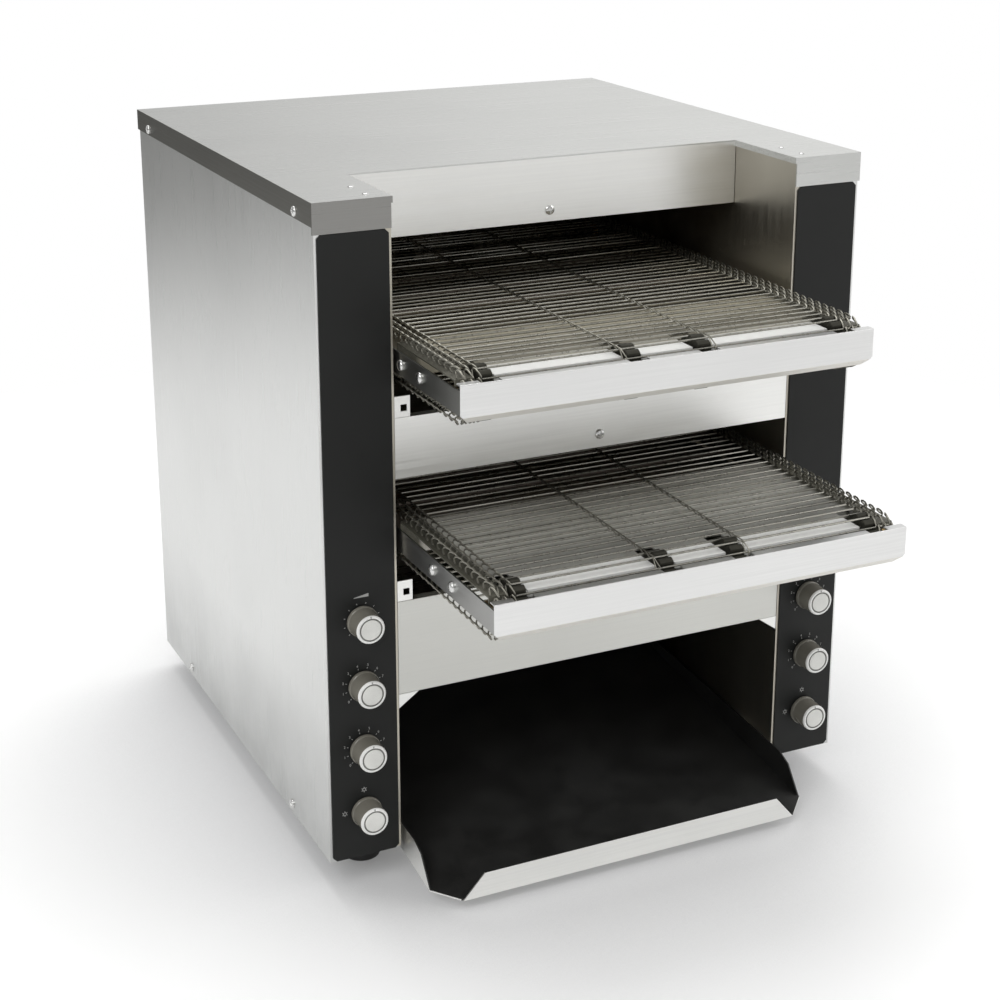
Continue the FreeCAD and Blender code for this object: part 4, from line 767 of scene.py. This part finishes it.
def pointer():
    """A thin bar across the rim, with rounded long edges: a closed strip with a ring of eight points."""
    way = np.arange(8) * math.pi / 4
    ring = np.stack([0.62 * np.cos(way), 0 * way, 19.96 + 0.16 * np.sin(way)], -1)
    shift = np.array([9.5, 9.5, 11.0, 11.0])[:, None, None] * np.array([0.0, 1.0, 0.0])
    size = np.array([0.0, 1.0, 1.0, 0.0])[:, None, None] * np.array([1.0, 0.0, 1.0])
    middle = np.array([0.0, 0.0, 19.96])
    return middle + (ring - middle) * size + shift


for sign, side in ((-1, "left"), (1, "right")):
    for use, height in KNOB_HEIGHTS.items():
        place = (sign * TOWER, 0.0, height)
        bands = [patch(stand(lathe(profile, 56), place, "f")) for _, profile in KNOB_BANDS]
        bands.append(patch(stand(pointer(), place, "f")))
        body = f"{side}_{use}_knob"
        titles = [title for title, _ in KNOB_BANDS] + ["print_grey"]
        made("turned_" + body, bands, titles, body, [body])
print("knobs made:", 2 * len(KNOB_HEIGHTS))

# %% [markdown]
# The dials are printed on the panels: a ring of short ticks for heat and speed, with plain numbers
# for heat, a small ramp over the speed dial, and two small rings with six short rays each at the
# switch below. Print has no thickness to speak of, so each mark is a very thin closed shape on the panel.

# %% Dial marks
def plate(corners, thick=0.06, face=0.0):
    """A thin flat mark: two copies of a ring of corners, a little apart, closed by a pole on each side."""
    corners = np.asarray(corners, float)
    middle = np.broadcast_to(corners.mean(0), corners.shape)
    rows = [(middle, face), (corners, face), (corners, face - thick), (middle, face - thick)]
    return np.stack([np.stack([points[:, 0], np.full(len(points), depth), points[:, 1]], -1)
                     for points, depth in rows])


def ring_mark(radius, width, thick=0.06, around=28):
    """A thin printed ring: a closed four-cornered profile carried round a circle."""
    angle = np.arange(around) * 2 * math.pi / around
    rows = [(radius, 0.0), (radius + width, 0.0), (radius + width, -thick), (radius, -thick), (radius, 0.0)]
    return np.stack([np.stack([out * np.cos(angle), np.full(around, y), out * np.sin(angle)], -1)
                     for out, y in rows])


def tick(angle, near, far, half):
    """A short bar that points at the knob's middle."""
    away = np.array([math.sin(angle), math.cos(angle)])
    side = np.array([away[1], -away[0]]) * half
    return plate([away * near - side, away * far - side, away * far + side, away * near + side])


def numeral(text, size, place):
    """A printed figure: text made a mesh, stood upright and moved to its place."""
    curve = bpy.data.curves.new("figure", "FONT")
    curve.body, curve.size, curve.extrude = text, size * 0.001, 0.00003
    curve.align_x, curve.align_y = "CENTER", "CENTER"
    holder = bpy.data.objects.new("figure", curve)
    bpy.context.scene.collection.objects.link(holder)
    bpy.context.view_layer.update()
    mesh = bpy.data.meshes.new_from_object(holder)
    flat = np.zeros(len(mesh.vertices) * 3)
    mesh.vertices.foreach_get("co", flat)
    flat = flat.reshape(-1, 3)
    faces = [tuple(face.vertices) for face in mesh.polygons]
    bpy.data.objects.remove(holder)
    upright = np.stack([flat[:, 0], -flat[:, 2], flat[:, 1]], -1) + spot(*place)
    return upright, faces


def dial_marks(sign):
    """All printed marks of one tower, in the drawing's millimetres."""
    shapes, figures = [], []
    for use, height in KNOB_HEIGHTS.items():
        middle = np.array([sign * TOWER, -0.01, height])
        if use == "power":
            for place in ((-1.0, 0, 18.6), (-17.5, 0, 1.0)):
                shapes.append(ring_mark(1.0, 0.5) + middle + place)
                shapes += [tick(math.radians(60 * ray), 1.75, 2.35, 0.28) + middle + place
                           for ray in range(6)]
            continue
        for number, degrees in enumerate(np.linspace(-135, 135, 10)):
            angle = math.radians(degrees)
            shapes.append(tick(angle, 13.7, 14.9, 0.24) + middle)
            if use != "speed":
                away = np.array([16.9 * math.sin(angle), -0.03, 16.9 * math.cos(angle)])
                figures.append((str(number), 2.9, middle + away))
        if use == "speed":
            shapes.append(plate([(-6.0, 0.0), (6.0, 0.0), (6.0, 2.6), (-6.0, 0.5)]) + middle + (0, 0, 19.0))
    return shapes, figures


for sign, side in ((-1, "left"), (1, "right")):
    shapes, figures = dial_marks(sign)
    parts = [patch(spot(*np.moveaxis(shape, -1, 0))) for shape in shapes]
    made(f"{side}_dial_marks", parts, ["print_grey"] * len(parts), "case", smooth=20)
    corners, faces = [], []
    for text, size, place in figures:
        points, around = numeral(text, size, place)
        faces += [tuple(np.array(face) + len(corners)) for face in around]
        corners += points.tolist()
    mesh = bpy.data.meshes.new(f"{side}_dial_numbers")
    mesh.from_pydata(corners, [], [tuple(int(i) for i in face) for face in faces])
    mesh.materials.append(FINISHES["print_grey"])
    settle(bpy.data.objects.new(f"{side}_dial_numbers", mesh), f"{side}_dial_numbers", "case")
print("dial marks printed")

# %% [markdown]
# The toaster stands on four rubber feet, a little wider at the top, with a soft edge below and
# a shallow groove round each.

# %% Feet
FOOT_PROFILE = [(0, 0), (18.2, 0), (18.9, -0.6), (19.0, -2.0), (18.4, -5.0), (17.9, -5.6), (18.2, -6.3),
                (16.6, -18.0), (15.6, -23.6), (14.6, -25.6), (13.4, -26.0), (5.5, -26.0), (5.2, -23.0),
                (0, -23.0)]
soles = [patch(stand(lathe(FOOT_PROFILE, 40), (sign * 190.0, y, 0.0), "u"))
         for sign in (-1, 1) for y in (48.0, 414.0)]
made("rubber_feet", soles, ["foot_rubber"] * 4, "case", ["feet"])
print("feet made:", len(soles))

# %% [markdown]
# The back isn't in the photograph. Such a toaster has a fan that pushes air through the case,
# louvres that let it out, and a collar for the supply cable. A louvre is a hood pressed out over its
# slot: its height swells from nothing at the top to its full depth at the open lower edge.

# %% Louvre hoods
def hood(columns=26, rows=7, length=92.0, tall=9.0, deep=3.6, thick=0.7):
    """One hood, closed. Across, its depth keeps full height and falls off at both ends as one less the
    eighth power of the place; down, it grows as the sine of a quarter turn."""
    across = np.linspace(-1, 1, columns)
    down = np.linspace(0, 1, rows)[:, None]
    depth = deep * np.clip(1 - across ** 8, 0, 1) * np.sin(down * math.pi / 2)
    x = across * length / 2 + 0 * down
    z = -down * tall + 0 * across
    outer = np.stack([x, depth + 0.12, z], -1)
    inner = np.stack([x * (1 - 2 * thick / length), np.clip(depth + 0.12 - thick, 0.0, None), z], -1)
    return np.concatenate([outer, inner[::-1], outer[:1]])


hoods = []
for sign in (-1, 1):
    for row in range(9):
        place = (sign * 150.0, DEPTH - GAUGE, 330.0 + 13.0 * row + 8.2)
        shape = hood() + np.array(place)
        hoods.append(patch(spot(*np.moveaxis(shape, -1, 0)), ring=False))
made("louvre_hoods", hoods, ["back_steel"] * len(hoods), "case", smooth=50)
print("louvres:", len(hoods))

# %% [markdown]
# The fan's frame, its rotor, the switches, the terminal block and the cable collar are plain moulded
# parts that hardly show. They keep the CAD's shapes with rounded edges or with a finish of their own.

# %% Small parts
softened("fan_frame", ["fan_black"], width=0.0008)
dress("fan_rotor", "fan_black")
dress("switches", "switch_black")
dress("terminal_block", "terminal_cream")
softened("power_gland", ["gland_black"], width=0.0006)
print("small parts dressed")

# %% [markdown]
# The toaster is photographed on a white sweep. Near it the floor takes light and shadow, and further
# out it turns plain white for the camera, which hides where the floor ends. Steel shows its
# surroundings, so the floor behind the toaster is darker in reflections: that gives the tall side
# panel its slow change from light to dark.

# %% Floor
def floor_finish():
    """A pale floor, darkened near the toaster for the camera by an ambient-occlusion tint, a painted
    shadow, that turns plain white for the camera further out. For reflections it is bright near the
    toaster and grows dark behind it, past a line across Y."""
    material, tree, shader = finish("floor", (0.80, 0.80, 0.80), rough=0.9, **{"Specular IOR Level": 0.0})
    output = tree.nodes["Material Output"]
    path = tree.nodes.new("ShaderNodeLightPath")
    camera_ray, glossy_ray = path.outputs["Is Camera Ray"], path.outputs["Is Glossy Ray"]
    # For the camera, an ambient-occlusion tint paints a shadow on the floor near the toaster.
    painted_shadow_ao = tree.nodes.new("ShaderNodeAmbientOcclusion")
    painted_shadow_ao.inputs["Distance"].default_value = 0.42
    painted_shadow_ao.samples = 8
    painted_shadow_fade = between(tree, painted_shadow_ao.outputs["AO"], 0.0, 1.0, 0.35, 0.97)
    soft = tint(tree, painted_shadow_fade, (0.56, 0.56, 0.57), (1.0, 1.0, 1.0))
    pale = tint(tree, camera_ray, (0.80, 0.80, 0.80), soft)
    far = along(tree, "Y", 1.1, 2.5)
    mirrored = tint(tree, times(tree, glossy_ray, far), pale, (0.34, 0.34, 0.335))
    tree.links.new(mirrored, shader.inputs["Base Color"])
    glow = tree.nodes.new("ShaderNodeEmission")
    tree.links.new(times(tree, times(tree, glossy_ray, between(tree, far, 0.14, 0.0, 0.0, 1.0)),
                         times(tree, camera_ray, 0.13), "ADD"), glow.inputs["Strength"])
    lit = tree.nodes.new("ShaderNodeAddShader")
    tree.links.new(shader.outputs["BSDF"], lit.inputs[0])
    tree.links.new(glow.outputs["Emission"], lit.inputs[1])
    place = tree.nodes.new("ShaderNodeTexCoord")
    reach = tree.nodes.new("ShaderNodeVectorMath")
    reach.operation = "LENGTH"
    tree.links.new(place.outputs["Object"], reach.inputs[0])
    white = tree.nodes.new("ShaderNodeEmission")
    both = tree.nodes.new("ShaderNodeMixShader")
    outer = between(tree, reach.outputs["Value"], 0.0, 1.0, 0.45, 1.3)
    tree.links.new(times(tree, camera_ray, outer), both.inputs[0])
    tree.links.new(lit.outputs["Shader"], both.inputs[1])
    tree.links.new(white.outputs["Emission"], both.inputs[2])
    tree.links.new(both.outputs["Shader"], output.inputs["Surface"])
    return material


def floor_disc(radius=14.0, rings=24, around=64):
    """A flat disc: rings of points that stand closer together near the middle."""
    out = radius * np.linspace(0, 1, rings)[:, None] ** 2
    angle = np.arange(around) * 2 * math.pi / around
    return np.stack(np.broadcast_arrays(out * np.cos(angle), out * np.sin(angle), 0.0), -1)


corners, faces = patch(floor_disc())
floor_mesh = bpy.data.meshes.new("floor")
floor_mesh.from_pydata(corners.tolist(), [], faces[:, ::-1].tolist())
floor_mesh.materials.append(floor_finish())
floor = bpy.data.objects.new("floor", floor_mesh)
bpy.context.scene.collection.objects.link(floor)
print("floor laid")

# %% [markdown]
# The light is soft: a bright overcast world, a large lamp high on the left for the shine on
# the knobs, one on the right and one overhead. The world is darker near the horizon for everything but
# the camera, which is what gives folded steel its dark and light bands.

# %% World and lamps
world = bpy.data.worlds.new("studio")
bpy.context.scene.world = world
world.use_nodes = True
sky = world.node_tree
sky.nodes.clear()
place = sky.nodes.new("ShaderNodeTexCoord")
split = sky.nodes.new("ShaderNodeSeparateXYZ")
sky.links.new(place.outputs["Generated"], split.inputs["Vector"])
lean = sky.nodes.new("ShaderNodeMath")
lean.operation = "SUBTRACT"
sky.links.new(split.outputs["X"], lean.inputs[0])
sky.links.new(split.outputs["Z"], lean.inputs[1])
level = between(sky, lean.outputs["Value"], 0.46, 1.12, 0.0, 0.30)
path = sky.nodes.new("ShaderNodeLightPath")
strength = times(sky, level, path.outputs["Is Camera Ray"], "MAXIMUM")
glow = sky.nodes.new("ShaderNodeBackground")
glow.inputs["Color"].default_value = (1.0, 1.0, 0.99, 1)
sky.links.new(strength, glow.inputs["Strength"])
end = sky.nodes.new("ShaderNodeOutputWorld")
sky.links.new(glow.outputs["Background"], end.inputs["Surface"])


def lamp(name, place, aim, size, power):
    """A square soft lamp that looks at a point."""
    light = bpy.data.lights.new(name, "AREA")
    light.shape, light.size, light.energy = "SQUARE", size, power
    thing = bpy.data.objects.new(name, light)
    bpy.context.scene.collection.objects.link(thing)
    thing.location = place
    thing.rotation_euler = (Vector(aim) - Vector(place)).to_track_quat("-Z", "Y").to_euler()
    return thing


lamp("lamp_left", (-2.2, -1.6, 2.6), (0, 0, 0.3), 1.7, 38)
lamp("lamp_right", (2.4, -1.2, 2.0), (0, 0, 0.3), 1.7, 20)
lamp("lamp_top", (0.2, 0.9, 3.0), (0, 0, 0.3), 2.2, 38)
bpy.context.scene.view_settings.view_transform = "Standard"
print("lamps hung")
